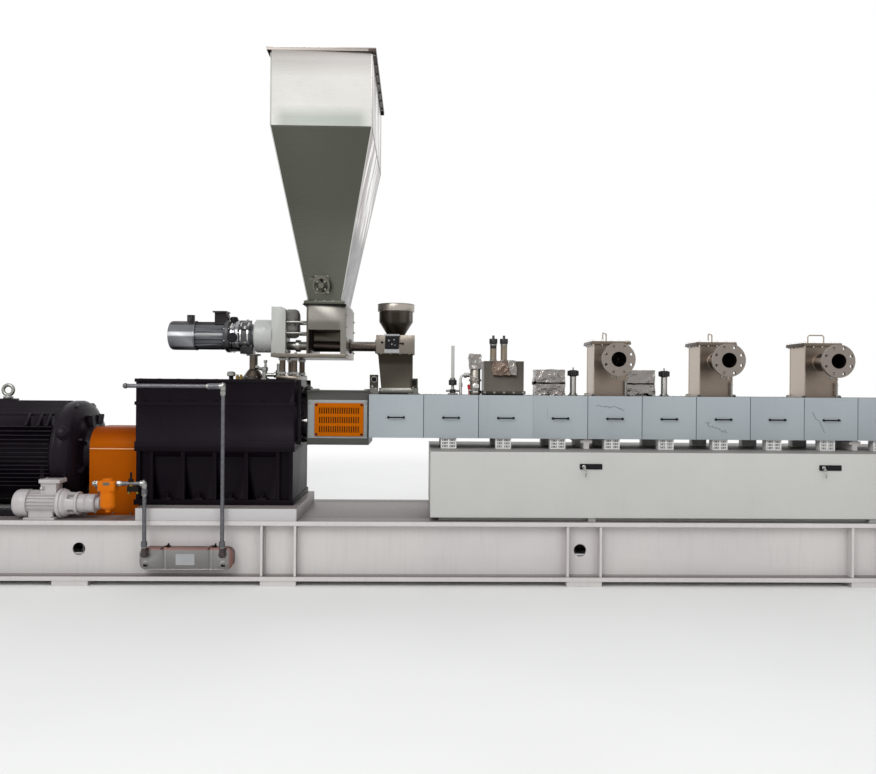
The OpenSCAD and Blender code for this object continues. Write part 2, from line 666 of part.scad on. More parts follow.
// Sheet covers over the barrel, one to a module, front side at negative Y
module covers() {
    return_d = cover_depth - flange_hy + 30;
    lip = 12;
    for (k = [0:module_count - 1]) {
        x0 = seam_x(k) + cover_gap / 2;
        x1 = seam_x(k + 1) - cover_gap / 2;
        along_x(x0, x1) difference() {
            translate([-cover_depth, cover_z0]) square([return_d, cover_h]);
            translate([-cover_depth + cover_t, cover_z0 + cover_t]) square([return_d, cover_h - 2 * cover_t]);
        }
        for (x = [x0, x1 - cover_t]) block(x, x + cover_t, -cover_depth + cover_t, -cover_depth + lip,
            cover_z0 + cover_t, cover_z1 - cover_t);
    }
}

module front_covers() color("lightsteelblue") covers();

module rear_covers() color("lightsteelblue") mirror([0, 1, 0]) covers();

// Bow handle with round feet
module handle(x) {
    half = 54;
    bar_r = 5;
    z = axis_z - 8;
    y = -cover_depth - handle_reach;
    for (end = [-1, 1]) {
        rod_y(x + end * half, y, -cover_depth, z, bar_r);
        rod_y(x + end * half, -cover_depth - 4, -cover_depth, z, bar_r + 4);
        translate([x + end * half, y, z]) sphere(r = bar_r);
    }
    rod_x(x - half, x + half, y, z, bar_r);
}

module cover_handles() color("#222222")
    for (k = [1:module_count], side = [0, 1]) mirror([0, side, 0]) handle(module_mid(k));

// T-shaped legs that carry the barrel above the cabinet
module barrel_supports() color("white") {
    head_w = 84;
    head_h = 24;
    stem_w = 40;
    depth = 232;
    z1 = axis_z - flange_hz;
    for (k = [4, 9]) {
        x = seam_x(k);
        block(x - stem_w / 2, x + stem_w / 2, -depth, depth, trunk_top, z1);
        block(x - head_w / 2, x + head_w / 2, -depth, depth, cover_z0 - fit - head_h - 8, cover_z0 - fit - 8);
    }
}

// Connector blocks for cooling water, with six sockets on the outer face of each
module cooling_manifold() color("white") {
    block_w = 110;
    block_d = 70;
    y0 = -250;
    socket_w = 38;
    socket_h = 14;
    socket_depth = 10;
    for (k = [2:module_count], side = [0, 1]) mirror([0, side, 0]) {
        x = module_mid(k) - 15;
        difference() {
            block(x - block_w / 2, x + block_w / 2, y0, y0 + block_d, trunk_top, cover_z0 - fit);
            for (column = [-1, 1], row = [0:2])
                translate([x + column * 26 - socket_w / 2, y0 - 1, trunk_top + 9 + row * 22])
                    cube([socket_w, socket_depth + 1, socket_h]);
        }
    }
}

// Closed sheet cabinet on a recessed plinth
module trunk_cabinet() color("#bfc0ba") {
    half = trunk_w / 2;
    inset = 60;
    top_r = 4;
    block(trunk_x0 + inset, trunk_x1 - inset, -half + inset, half - inset, deck_z, deck_z + plinth_h);
    for (k = [4, 9], side = [-1, 1])
        block(seam_x(k) - 40, seam_x(k) + 10, side * (half - 42) - 20, side * (half - 42) + 20,
            deck_z, deck_z + plinth_h);
    along_x(trunk_x0, trunk_x1) soft_rect(-half, deck_z + plinth_h, half, trunk_top, top_r);
}

// Swing-handle locks of the cabinet doors
module trunk_locks() color("#222222") {
    lock_w = 152;
    lock_h = 37;
    base_t = 6;
    z = trunk_top - 97;
    for (x = [seam_x(4) - 28, seam_x(9) - 326], side = [0, 1]) mirror([0, side, 0]) {
        y = -trunk_w / 2;
        along_y(y - base_t, y) soft_rect(x - lock_w / 2, z - lock_h / 2, x + lock_w / 2, z + lock_h / 2, 4);
        along_y(y - base_t - 7, y - base_t) soft_rect(x - lock_w / 2 + 48, z - 11, x + lock_w / 2 - 6, z + 11, 6);
        rod_y(x - lock_w / 2 + 26, y - base_t - 5, y - base_t, z, 12);
    }
}

// Feeder drive motor with a smooth cowl, fins and a terminal box with a sloping side
feeder_x0 = hopper_x - 1161;
feed_cowl_len = 195;
feed_body_len = 206;
module feeder_motor() color("silver") {
    x1 = feeder_x0 + feed_cowl_len;
    x2 = x1 + feed_body_len;
    fins = 24;
    turned_x(feeder_x0, 0, feed_motor_z) polygon([[0, 0], [0, 88], [5, 98], [14, 104], [26, 106],
        [feed_cowl_len, 106], [feed_cowl_len, 0]]);
    rod_x(x1, x2, 0, feed_motor_z, 88);
    for (i = [0:fins - 1]) translate([x1, 0, feed_motor_z]) rotate([i * 360 / fins, 0, 0])
        translate([0, -2.5, 80]) cube([feed_body_len, 5, 22]);
    along_y(-52, 52) polygon([[x1 + 136, feed_motor_z + 80], [x1 + 136, feed_motor_z + 168],
        [x1 + 216, feed_motor_z + 168], [x1 + 240, feed_motor_z + 100], [x1 + 240, feed_motor_z + 80]]);
    block(x1 + 122, x1 + 224, -60, 60, feed_motor_z + 168, feed_motor_z + 178);
    rod_z(feeder_x0 + 146, 0, feed_motor_z + 100, feed_motor_z + 150, 28);
}

// Variable drive behind the motor: flanged ring, lugged body and round reducer housing
feed_drive_x0 = feeder_x0 + feed_cowl_len + feed_body_len;
feed_ring_x = feed_drive_x0 + 221;
feed_block_x0 = hopper_x - 408;
module feeder_drive() color("silver") {
    reducer_r = 121;
    lugs = 6;
    turned_x(feed_drive_x0, 0, feed_motor_z) polygon([[0, 0], [0, 104], [14, 104], [14, 122], [40, 122], [40, 98],
        [88, 98], [88, 112], [112, 112], [112, 94], [190, 94], [205, 84], [221, 84], [221, 0]]);
    for (i = [0:lugs - 1]) translate([feed_drive_x0 + 40, 0, feed_motor_z]) rotate([i * 360 / lugs, 0, 0])
        translate([0, -12, 88]) cube([150, 24, 26]);
    block(feed_drive_x0 + 118, feed_drive_x0 + 206, -60, 60, feeder_z + 6, feed_motor_z);
    turned_x(feed_ring_x, 0, feed_motor_z) polygon([[0, 0], [0, reducer_r - 10], [8, reducer_r],
        [feed_block_x0 - feed_ring_x, reducer_r], [feed_block_x0 - feed_ring_x, 0]]);
}

// Gear block with a rounded shoulder and the round cover of the second shaft
feed_block_len = 101;
module feeder_gear_block() color("#b5bab5") {
    half = 110;
    corner_r = 36;
    top = chamber_top;
    along_y(-half, half) {
        translate([feed_block_x0, feeder_z]) square([feed_block_len, chamber_h - corner_r]);
        translate([feed_block_x0, feeder_z]) square([feed_block_len - corner_r, chamber_h]);
        translate([feed_block_x0 + feed_block_len - corner_r, top - corner_r]) circle(r = corner_r);
    }
    turned_x(feed_block_x0 + feed_block_len, 0, top - 74) polygon([[0, 0], [0, 66], [60, 66], [78, 56], [88, 36],
        [88, 0]]);
}

// Base plate of the feeder on columns and a pedestal with a wide foot
stand_plate_t = 24;
feed_post_x = hopper_x - 556;
module feeder_stand() color("silver") {
    foot_t = 28;
    column_r = 21;
    depth = outlet_d / 2 + 10;
    base_r = 82;
    head_z = feeder_z + 6;
    block(hopper_x - 370, chamber_x1 + 40, -depth, depth, feeder_z - stand_plate_t, feeder_z);
    block(hopper_x - 350, hopper_x - 195, -240, 240, gearbox_top, gearbox_top + foot_t);
    for (x = [hopper_x - 312, hopper_x - 228], y = [-190, 190])
        rod_z(x, y, gearbox_top + foot_t, feeder_z - stand_plate_t, column_r);
    translate([feed_post_x, 0, gearbox_top]) rotate_extrude() polygon([[0, 0], [base_r, 0], [base_r, 8],
        [base_r - 22, 42], [44, 66], [30, 80], [30, head_z - gearbox_top - 12], [52, head_z - gearbox_top - 12],
        [52, head_z - gearbox_top], [0, head_z - gearbox_top]]);
    // Joint between the two supports of the stand
    block(feed_post_x, hopper_x - 300, -40, 40, gearbox_top, gearbox_top + 8);
}

// Stainless chamber below the supply hopper: a chute box on two side plates over the screw trough
chamber_x0 = hopper_x - 111;
chamber_x1 = hopper_x + 111;
chamber_hy = outlet_d / 2 + 4;
plate_left_t = 14;
plate_right_t = 40;
module feeder_chamber() color("silver") difference() {
    floor_z = chamber_top - 178;
    trough_r = screw_tube_r + 6;
    neck = 24;
    union() {
        block(chamber_x0, chamber_x1, -chamber_hy, chamber_hy, floor_z, chamber_top);
        block(chamber_x0 - plate_left_t, chamber_x0, -chamber_hy, chamber_hy, feeder_z, chamber_top);
        block(chamber_x1, chamber_x1 + plate_right_t, -chamber_hy, chamber_hy, feeder_z, chamber_top);
        rod_x(chamber_x0, chamber_x1, 0, feed_screw_z, trough_r);
        block(chamber_x0, chamber_x1, -neck, neck, feed_screw_z, floor_z);
    }
    block(chamber_x0 + sheet_t, chamber_x1 - sheet_t, -chamber_hy + sheet_t, chamber_hy - sheet_t,
        floor_z + sheet_t, chamber_top + 1);
}

module feeder_screw_tube() color("silver") {
    flange_t = 12;
    x0 = chamber_x1 + plate_right_t;
    x1 = feed_x - feed_box_w / 2;
    rod_x(x0, x1, 0, feed_screw_z, screw_tube_r);
    rod_x(x0, x0 + flange_t, 0, feed_screw_z, screw_tube_r + 18);
    rod_x(x1 - flange_t, x1, 0, feed_screw_z, screw_tube_r + 16);
}

// Tie rods and coupled shaft between the gear block and the chamber
module feeder_tie_rods() color("silver") {
    x0 = feed_block_x0 + feed_block_len;
    x1 = chamber_x0 - plate_left_t;
    rod_r = 9;
    for (y = [-92, 92], z = [feeder_z + 158, feeder_z + 238]) rod_x(x0, x1, y, z, rod_r);
    rod_x(x0, x1, 0, feed_screw_z, screw_tube_r - 4);
    rod_x(x0 + 62, x0 + 96, 0, feed_screw_z, screw_tube_r + 8);
}

// Big supply hopper of folded stainless sheet with an open top and a flanged outlet
hopper_flange_t = 20;
hopper_z0 = chamber_top + hopper_flange_t;
hopper_z1 = hopper_z0 + hopper_taper_h;
hopper_z2 = hopper_z1 + hopper_box_h;
function around(x, w, d, z) = [x - w / 2, x + w / 2, -d / 2, d / 2, z];
module supply_hopper() color("lightgray") {
    t = 2 * sheet_t;
    flange_w = outlet_w + 2 * rim_w;
    flange_d = outlet_d + 2 * rim_w;
    difference() {
        union() {
            block(hopper_x - flange_w / 2, hopper_x + flange_w / 2, -flange_d / 2, flange_d / 2,
                chamber_top, hopper_z0);
            loft(around(hopper_x, outlet_w, outlet_d, hopper_z0), around(hopper_x, hopper_w, hopper_d, hopper_z1));
            block(hopper_x - hopper_w / 2, hopper_x + hopper_w / 2, -hopper_d / 2, hopper_d / 2, hopper_z1, hopper_z2);
            block(hopper_x - hopper_w / 2 - rim_w, hopper_x + hopper_w / 2 + rim_w, -hopper_d / 2 - rim_w,
                hopper_d / 2 + rim_w, hopper_z2 - 6, hopper_z2);
        }
        block(hopper_x - outlet_w / 2 + sheet_t, hopper_x + outlet_w / 2 - sheet_t, -outlet_d / 2 + sheet_t,
            outlet_d / 2 - sheet_t, chamber_top - 1, hopper_z0 + 0.5);
        loft(around(hopper_x, outlet_w - t, outlet_d - t, hopper_z0),
            around(hopper_x, hopper_w - t, hopper_d - t, hopper_z1));
        block(hopper_x - hopper_w / 2 + sheet_t, hopper_x + hopper_w / 2 - sheet_t, -hopper_d / 2 + sheet_t,
            hopper_d / 2 - sheet_t, hopper_z1 - 0.5, hopper_z2 + 1);
    }
}

// Vibrator on the front of the taper, square to the slope
module hopper_vibrator() color("silver") {
    slope = atan2((hopper_d - outlet_d) / 2, hopper_taper_h);
    rise = 114;
    body_r = 56;
    translate([hopper_x - 15, -outlet_d / 2 - rise * tan(slope) - fit, hopper_z0 + rise]) rotate([slope, 0, 0]) {
        block(-50, 50, -10, 0, -62, 62);
        rod_y(0, -58, -10, 0, body_r);
        rod_y(0, -66, -58, 0, body_r - 8);
        block(-84, -40, -46, -18, 26, 48);
    }
}

// Round open feed hopper on its box above the first barrel module
feed_box_w = 278;
feed_box_z0 = feed_screw_z - 56;
feed_box_z1 = feed_box_z0 + 134;
feed_throat_r = feed_r / 2;
module feed_hopper() color("silver") {
    cone_z = feed_box_z1 + 104;
    rim_z = cone_z + 76;
    top_z = rim_z + 52;
    half = feed_box_w / 2;
    translate([feed_x, 0, 0]) rotate_extrude() polygon([[feed_throat_r - sheet_t, feed_box_z1 - sheet_t],
        [feed_throat_r, feed_box_z1 - sheet_t], [feed_throat_r, feed_box_z1 + 4], [feed_r, cone_z], [feed_r, rim_z],
        [feed_r + 11, rim_z], [feed_r + 11, top_z], [feed_r - sheet_t, top_z], [feed_r - sheet_t, cone_z + 2],
        [feed_throat_r - sheet_t, feed_box_z1 + 6]]);
    difference() {
        block(feed_x - half, feed_x + half, -half, half, feed_box_z0, feed_box_z1);
        block(feed_x - half + sheet_t, feed_x + half - sheet_t, -half + sheet_t, half - sheet_t,
            feed_box_z0 - 1, feed_box_z1 - sheet_t);
        rod_z(feed_x, 0, feed_box_z1 - sheet_t - 1, feed_box_z1 + 1, feed_throat_r - sheet_t);
    }
}

// Chute from the feed box down to the barrel, with one sloping side
chute_top_w = 250;
chute_foot_w = 226;
chute_foot_h = 80;
module feed_chute() color("silver") {
    right = feed_x + chute_top_w / 2;
    z1 = barrel_top + chute_foot_h;
    top_half = chute_top_w / 2;
    foot_half = chute_foot_w / 2;
    t = sheet_t;
    difference() {
        union() {
            loft([right - chute_foot_w, right, -foot_half, foot_half, z1],
                [right - chute_top_w, right, -top_half, top_half, feed_box_z0]);
            block(right - chute_foot_w - 14, right + 6, -foot_half - 12, foot_half + 12, z1 - 46, z1);
            block(right - chute_foot_w, right, -foot_half, foot_half, barrel_top, z1);
            for (side = [0, 1]) mirror([0, side, 0])
                block(right - chute_top_w, right, -top_half - 8, -top_half, feed_box_z0 - 14, feed_box_z0);
        }
        loft([right - chute_foot_w + t, right - t, -foot_half + t, foot_half - t, z1],
            [right - chute_top_w + t, right - t, -top_half + t, top_half - t, feed_box_z0 + 0.02]);
        block(right - chute_foot_w + t, right - t, -foot_half + t, foot_half - t, barrel_top - 1, z1 + 0.5);
    }
}

// Vent stacks with a drilled flange at the front and a top flange
VENT_MODULES = [5, 7, 9];
vent_axis_z = cover_z1 + vent_axis_h;
vent_top = cover_z1 + vent_h;
vent_rim_t = 8;
module vent_stacks() color("rosybrown") {
    bolts = 8;
    half = vent_w / 2;
    for (k = VENT_MODULES) {
        x = module_mid(k);
        difference() {
            union() {
                block(x - half, x + half, -half, half, barrel_top, vent_top);
                translate([0, 0, vent_top - vent_rim_t]) linear_extrude(vent_rim_t)
                    soft_rect(x - half - vent_rim, -half - vent_rim, x + half + vent_rim, half + vent_rim, 10);
                rod_y(x, -vent_reach + vent_flange_t, -half, vent_axis_z, vent_neck_r);
                rod_y(x, -vent_reach, -vent_reach + vent_flange_t, vent_axis_z, vent_flange_r);
            }
            rod_y(x, -vent_reach - 1, 0, vent_axis_z, vent_bore_r);
            block(x - half + vent_wall, x + half - vent_wall, -half + vent_wall, half - vent_wall, barrel_top - 1,
                vent_top + 1);
            for (i = [0:bolts - 1]) translate([x, -vent_reach - 1, vent_axis_z])
                rotate([0, (i + 0.5) * 360 / bolts, 0]) translate([0, 0, vent_pcd / 2]) rotate([-90, 0, 0])
                    cylinder(r = vent_hole_r, h = vent_flange_t + 2);
        }
    }
}

// Lids of the vent stacks, each with a bail handle
module vent_lids() color("rosybrown") {
    lid_t = 8;
    bail_h = 70;
    bail_half = 45;
    wire_r = 5;
    half = vent_w / 2 + vent_rim - 2;
    z = vent_top + lid_t;
    for (k = VENT_MODULES) {
        x = module_mid(k) - 40;
        translate([0, 0, vent_top]) linear_extrude(lid_t)
            soft_rect(module_mid(k) - half, -half, module_mid(k) + half, half, 10);
        for (side = [-1, 1]) {
            rod_z(x + side * bail_half, 0, z, z + bail_h, wire_r);
            translate([x + side * bail_half, 0, z + bail_h]) sphere(r = wire_r);
        }
        rod_x(x - bail_half, x + bail_half, 0, z + bail_h, wire_r);
    }
}

// Clamping posts with star knobs, and the slim rod post beside the second module
post_x = [seam_x(4) - 71, seam_x(5) + 201];
slim_post_x = seam_x(1) + 215;
module clamp_posts() color("silver") {
    post_r = 19;
    knob_r = 34;
    knob_z = cover_z1 + 143;
    for (x = post_x) {
        rod_z(x, 0, barrel_top, knob_z, post_r);
        rod_z(x, 0, knob_z, knob_z + 46, knob_r - 6);
        for (a = [0:60:300]) rotate_about(x, a) rod_z(x + knob_r - 8, 0, knob_z, knob_z + 46, 12);
        rod_z(x, 0, knob_z + 46, knob_z + 66, 6);
    }
    rod_z(slim_post_x, 0, barrel_top, cover_z1 + 362, 12);
    rod_z(slim_post_x, 0, barrel_top, cover_z1 + 40, 22);
    rod_z(slim_post_x, 0, cover_z1 + 70, cover_z1 + 110, 30);
}

module rotate_about(x, a) translate([x, 0, 0]) rotate([0, 0, a]) translate([-x, 0, 0]) children();

// Side feed port on the third module with two capped gauges
port_w = 288;
port_top = cover_z1 + 247;
gauge_x = [seam_x(2) + 122, seam_x(2) + 200];
module side_port() color("silver") {
    x = module_mid(3);
    depth = 120;
    gauge_h = 130;
    block(x - port_w / 2, x + port_w / 2, -depth, depth, barrel_top, port_top);
    block(x - port_w / 2 - 12, x + port_w / 2 + 12, -depth - 12, depth + 12, cover_z1 + 6, cover_z1 + 30);
    for (gx = gauge_x) {
        rod_z(gx, -40, port_top, port_top + gauge_h, 24);
        rod_z(gx, -40, port_top + gauge_h, port_top + gauge_h + 36, 30);
        rod_z(gx, -40, port_top + gauge_h + 36, port_top + gauge_h + 60, 9);
    }
    // Valve stack between the slim post and the port
    valve_x = x - port_w / 2 - 62;
    rod_z(valve_x, -60, axis_z + flange_hz, cover_z1 + 190, 38);
    for (z = [cover_z1 + 8, cover_z1 + 100]) rod_z(valve_x, -60, z, z + 14, 46);
}

// Wrapped port plugs of two stacked blocks with a clamping band between them
module port_plugs() color("silver") {
    half_y = 100;
    top = cover_z1 + 189;
    band_z = cover_z1 + 84;
    for (range = [[seam_x(3) + 45, seam_x(3) + 255, barrel_top], [seam_x(5) - 67, seam_x(5) + 139, axis_z + flange_hz]]) {
        block(range[0], range[1], -half_y, half_y, range[2], band_z);
        block(range[0] + 10, range[1] - 10, -half_y + 10, half_y - 10, band_z, band_z + 12);
        block(range[0], range[1], -half_y, half_y, band_z + 12, top);
    }
}

base_front_beam();
base_rear_beam();
base_cross_members();
base_deck();
gearbox_pedestal();
motor_frame();
motor_end_shield();
motor_fan_cowl();
motor_lifting_eye();
coupling_guard();
gearbox_lower();
gearbox_upper();
gearbox_output_flange();
oil_pump_motor();
oil_pump();
oil_filter();
oil_pipes();
oil_cooler();
lantern_housing();
lantern_guard();
barrel();
discharge_flange();
front_covers();
rear_covers();
cover_handles();
barrel_supports();
cooling_manifold();
trunk_cabinet();
trunk_locks();
feeder_motor();
feeder_drive();
feeder_gear_block();
feeder_stand();
feeder_chamber();
feeder_screw_tube();
feeder_tie_rods();
supply_hopper();
hopper_vibrator();
feed_hopper();
feed_chute();
vent_stacks();
vent_lids();
clamp_posts();
side_port();
port_plugs();
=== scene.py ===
"""Looks of a twin-screw compounding extruder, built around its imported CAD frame.

X runs along the machine to the discharge end, Y to the rear and Z up from the floor, in metres.
"""

from __future__ import annotations

import logging
import math
from collections.abc import Iterable, Sequence
from dataclasses import dataclass
from enum import Enum
from functools import reduce
from itertools import product

import bmesh
import bpy
from mathutils import Matrix, Vector, noise

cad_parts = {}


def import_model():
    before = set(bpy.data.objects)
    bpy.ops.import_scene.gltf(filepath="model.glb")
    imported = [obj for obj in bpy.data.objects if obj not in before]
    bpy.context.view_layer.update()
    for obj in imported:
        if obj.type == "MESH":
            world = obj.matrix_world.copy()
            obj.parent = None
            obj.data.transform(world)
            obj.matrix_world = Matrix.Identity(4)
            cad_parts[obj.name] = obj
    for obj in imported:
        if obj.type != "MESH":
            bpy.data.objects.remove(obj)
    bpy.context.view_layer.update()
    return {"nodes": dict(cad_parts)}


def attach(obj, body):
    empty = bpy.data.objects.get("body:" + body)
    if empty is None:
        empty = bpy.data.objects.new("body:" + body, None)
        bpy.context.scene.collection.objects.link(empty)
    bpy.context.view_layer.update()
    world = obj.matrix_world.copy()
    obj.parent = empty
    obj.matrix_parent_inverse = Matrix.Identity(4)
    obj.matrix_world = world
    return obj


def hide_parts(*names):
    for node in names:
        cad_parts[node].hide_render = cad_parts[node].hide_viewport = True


LOG = logging.getLogger("extruder")
BODY = "root"
Point = Sequence[float]
Socket = bpy.types.NodeSocket

# Directions of the machine's frame
LEFT, RIGHT = Vector((-1, 0, 0)).freeze(), Vector((1, 0, 0)).freeze()
FRONT, REAR = Vector((0, -1, 0)).freeze(), Vector((0, 1, 0)).freeze()
DOWN, UP = Vector((0, 0, -1)).freeze(), Vector((0, 0, 1)).freeze()
# Signs of both sides, and of the four corners
SIDES = (-1, 1)
CORNERS = ((-1, -1), (-1, 1), (1, -1), (1, 1))

# Mathutils moves its noise vectors by a random offset until a seed is set
NOISE_SEED = 1
# Angle above which an edge between two faces stays sharp
CREASE = math.radians(32)
# Distance at which corners that belong together are joined, in metres
WELD = 0.00002

# Head radii over the corners of hexagon screws, by thread
M6, M8, M10, M12, M16, M20 = 0.0058, 0.0075, 0.0092, 0.0104, 0.0139, 0.0173


def linear(code: str) -> tuple[float, float, float, float]:
    """Turns an sRGB hex colour to linear light.

    Args:
        code: six hex digits after a hash.

    Returns:
        Red, green, blue and an alpha of one.
    """
    parts = (int(code[i : i + 2], 16) / 255 for i in (1, 3, 5))
    red, green, blue = (p / 12.92 if p <= 0.04045 else ((p + 0.055) / 1.055) ** 2.4 for p in parts)
    return red, green, blue, 1.0


class Net:
    """The nodes of one material or world, with short ways to the usual ones."""

    def __init__(self, owner: bpy.types.Material | bpy.types.World) -> None:
        """Empties the owner's tree."""
        owner.use_nodes = True
        self.tree = owner.node_tree
        self.tree.nodes.clear()

    def add(self, kind: str, inputs: dict | None = None, **settings: object) -> bpy.types.Node:
        """Adds a shader node.

        Args:
            kind: the node's type without its prefix.
            inputs: for each socket a value, or the output that feeds it.
            settings: the node's own properties.

        Returns:
            The node.
        """
        made = self.tree.nodes.new("ShaderNode" + kind)
        for key, value in settings.items():
            setattr(made, key, value)
        for key, value in (inputs or {}).items():
            if isinstance(value, Socket):
                self.tree.links.new(value, made.inputs[key])
            else:
                made.inputs[key].default_value = value
        return made

    def mix(self, share: Socket, first: object, second: object) -> Socket:
        """Mixes two colours."""
        return self.add("Mix", {0: share, 6: first, 7: second}, data_type="RGBA").outputs[2]

    def times(self, first: Socket, second: Socket) -> Socket:
        """Multiplies two values."""
        return self.add("Math", {0: first, 1: second}, operation="MULTIPLY").outputs[0]

    def ramp(self, value: Socket, start: float = 0.0, end: float = 1.0, low: float = 0.0,
            high: float = 1.0) -> Socket:
        """Carries a value's span from start to end to the span from low to high, and holds it there."""
        return self.add("MapRange", {"Value": value, "From Min": start, "From Max": end, "To Min": low,
            "To Max": high}).outputs[0]

    def noise(self, place: Socket, scale: float, detail: float, roughness: float = 0.5) -> Socket:
        """Soft noise, with its scale in features per metre."""
        return self.add("TexNoise", {"Vector": place, "Scale": scale, "Detail": detail,
            "Roughness": roughness}).outputs[0]

    def stretched(self, place: Socket, scale: Iterable[float]) -> Socket:
        """The place, scaled along each axis."""
        return self.add("Mapping", {0: place, "Scale": tuple(scale)}).outputs[0]

    def bump(self, height: Socket, strength: float, depth: float, under: Socket | None = None) -> Socket:
        """A relief of a depth in metres, on top of another one if there is any."""
        made = self.add("Bump", {"Height": height, "Strength": strength, "Distance": depth})
        if under:
            self.tree.links.new(under, made.inputs["Normal"])
        return made.outputs[0]


# ---------------------------------------------------------------------------------------------
# Finishes
# ---------------------------------------------------------------------------------------------

# The inputs of the principled shader by name
Look = dict[str, object]


@dataclass(frozen=True)
class Zone:
    """A box of the frame in which a finish turns to another colour, such as a knob on a post, or painted
    shade, a painted highlight or a painted reflection.
    """

    colour: str
    metallic: float = 0.0
    # Half width of the zone's edge, in metres
    soft: float = 0.0008
    # Only faces that look this way take the colour
    facing: Vector | None = None
    # Colour of streaks inside the zone, and their size along X, Y and Z in millimetres
    streak: str = ""
    streak_mm: tuple[float, float, float] = (60.0, 60.0, 900.0)
    # Limits of the box; it is open along an axis without limits
    x: tuple[float, ...] = ()
    y: tuple[float, ...] = ()
    z: tuple[float, ...] = ()

    def mask(self, net: Net, place: Socket, normal: Socket) -> Socket:
        """One inside the zone and zero outside.

        Args:
            net: the material's nodes.
            place: the point in the frame.
            normal: the true normal of the face.

        Returns:
            The mask.
        """
        parts = []
        if self.facing:
            axis = next(i for i in range(3) if self.facing[i])
            sign = self.facing[axis]
            parts.append(net.ramp(normal.outputs[axis], 0.3 * sign, 0.75 * sign))
        for along, span in zip(place.outputs, (self.x, self.y, self.z)):
            for edge, soft in zip(span, (self.soft, -self.soft)):
                parts.append(net.ramp(along, edge - soft, edge + soft))
        return reduce(net.times, parts)

    def tint(self, net: Net, place: Socket) -> object:
        """The colour inside the zone, streaked or plain."""
        plain = linear(self.colour)
        if not self.streak:
            return plain
        lanes = net.noise(net.stretched(place, (1000 / mm for mm in self.streak_mm)), 1.0, 3.0)
        return net.mix(net.ramp(lanes, 0.45, 0.62), plain, linear(self.streak))


@dataclass(frozen=True)
class Finish:
    """What a surface is made of and how it was made."""

    colour: str
    shade: str = "#b5afb0"
    zones: tuple[Zone, ...] = ()

    def material(self, name: str) -> bpy.types.Material:
        """Builds the node material of this finish.

        Args:
            name: the material's name.

        Returns:
            The material.
        """
        made = bpy.data.materials.new(name)
        net = Net(made)
        place = net.add("TexCoord").outputs["Object"]
        look = self.look(net, place)
        if self.zones:
            self.paint_zones(net, place, look)
        shader = net.add("BsdfPrincipled", look)
        net.add("OutputMaterial", {"Surface": self.surface(net, place, shader)})
        return made

    def look(self, net: Net, place: Socket) -> Look:
        """Builds the finish.

        Args:
            net: the material's nodes.
            place: the point in the frame, in metres.

        Returns:
            The shader's inputs.
        """
        raise NotImplementedError

    def surface(self, net: Net, place: Socket, shader: bpy.types.Node) -> Socket:
        """What the renderer sees: the shader as it is."""
        return shader.outputs["BSDF"]

    def paint_zones(self, net: Net, place: Socket, look: Look) -> None:
        """Changes the colour and the metal share inside each zone."""
        spot = net.add("SeparateXYZ", {0: place})
        normal = net.add("SeparateXYZ", {0: net.add("NewGeometry").outputs["True Normal"]})
        look.setdefault("Metallic", 0.0)
        for zone in self.zones:
            mask = zone.mask(net, spot, normal)
            look["Base Color"] = net.mix(mask, look["Base Color"], zone.tint(net, place))
            look["Metallic"] = net.add("Mix", {0: mask, 2: look["Metallic"], 3: zone.metallic}).outputs[0]

    def toned(self, net: Net, share: Socket) -> Socket:
        """Mixes the colour and its shade."""
        return net.mix(share, linear(self.colour), linear(self.shade))


@dataclass(frozen=True)
class SprayedEnamel(Finish):
    """Two-pack machine enamel sprayed on filled steel: an even satin coat with faint orange peel.

    It gives the eye a soft broad highlight, slow changes of tone from plate to plate, thin runs of
    grime below edges and a veil of dust on all that faces up.
    """

    grime: str = "#6f6862"
    grime_share: float = 0.10
    dust: str = "#a09a94"
    dust_share: float = 0.25
    roughness: float = 0.42
    # Share of light that the clear surface mirrors; 0.5 is a full gloss coat
    mirror: float = 0.35
    # Size of one dimple of the orange peel, in millimetres
    peel_mm: float = 5.0
    peel_depth_mm: float = 0.05
    # Size of the slow changes of tone, in millimetres
    tone_mm: float = 700.0

    def look(self, net: Net, place: Socket) -> Look:
        """Tone, runs of grime, dust and orange peel."""
        base = self.toned(net, net.ramp(net.noise(place, 1000 / self.tone_mm, 3.0), 0.3, 0.7))
        # Runs of grime are narrow and long: 25 mm by 400 mm
        run = net.noise(net.stretched(place, (40.0, 40.0, 2.5)), 1.0, 5.0, 0.65)
        dirty = net.mix(net.ramp(run, 0.52, 0.85, high=self.grime_share * 2), base, linear(self.grime))
        up = net.add("SeparateXYZ", {0: net.add("NewGeometry").outputs["Normal"]}).outputs[2]
        # Dust lies in flecks of 45 mm on what faces up
        veil = net.times(net.ramp(up, 0.5, 1.0, high=self.dust_share), net.noise(place, 22.0, 6.0))
        peel = net.noise(place, 1000 / self.peel_mm, 2.0)
        return {"Base Color": net.mix(veil, dirty, linear(self.dust)),
            "Roughness": net.ramp(run, 0.3, 0.8, self.roughness - 0.06, self.roughness + 0.12),
            "Normal": net.bump(peel, 0.6, self.peel_depth_mm / 1000), "IOR": 1.5,
            "Specular IOR Level": self.mirror}


@dataclass(frozen=True)
class CastEnamel(SprayedEnamel):
    """Enamel on sand-cast iron: the grain of the mould shows through the paint as a fine relief.

    It breaks the highlight into a dull shimmer, and the dust lies in the pits.
    """

    # Grain of the moulding sand under the paint, drawn at 6 mm so that it shows
    peel_mm: float = 6.0
    peel_depth_mm: float = 0.35
    tone_mm: float = 260.0


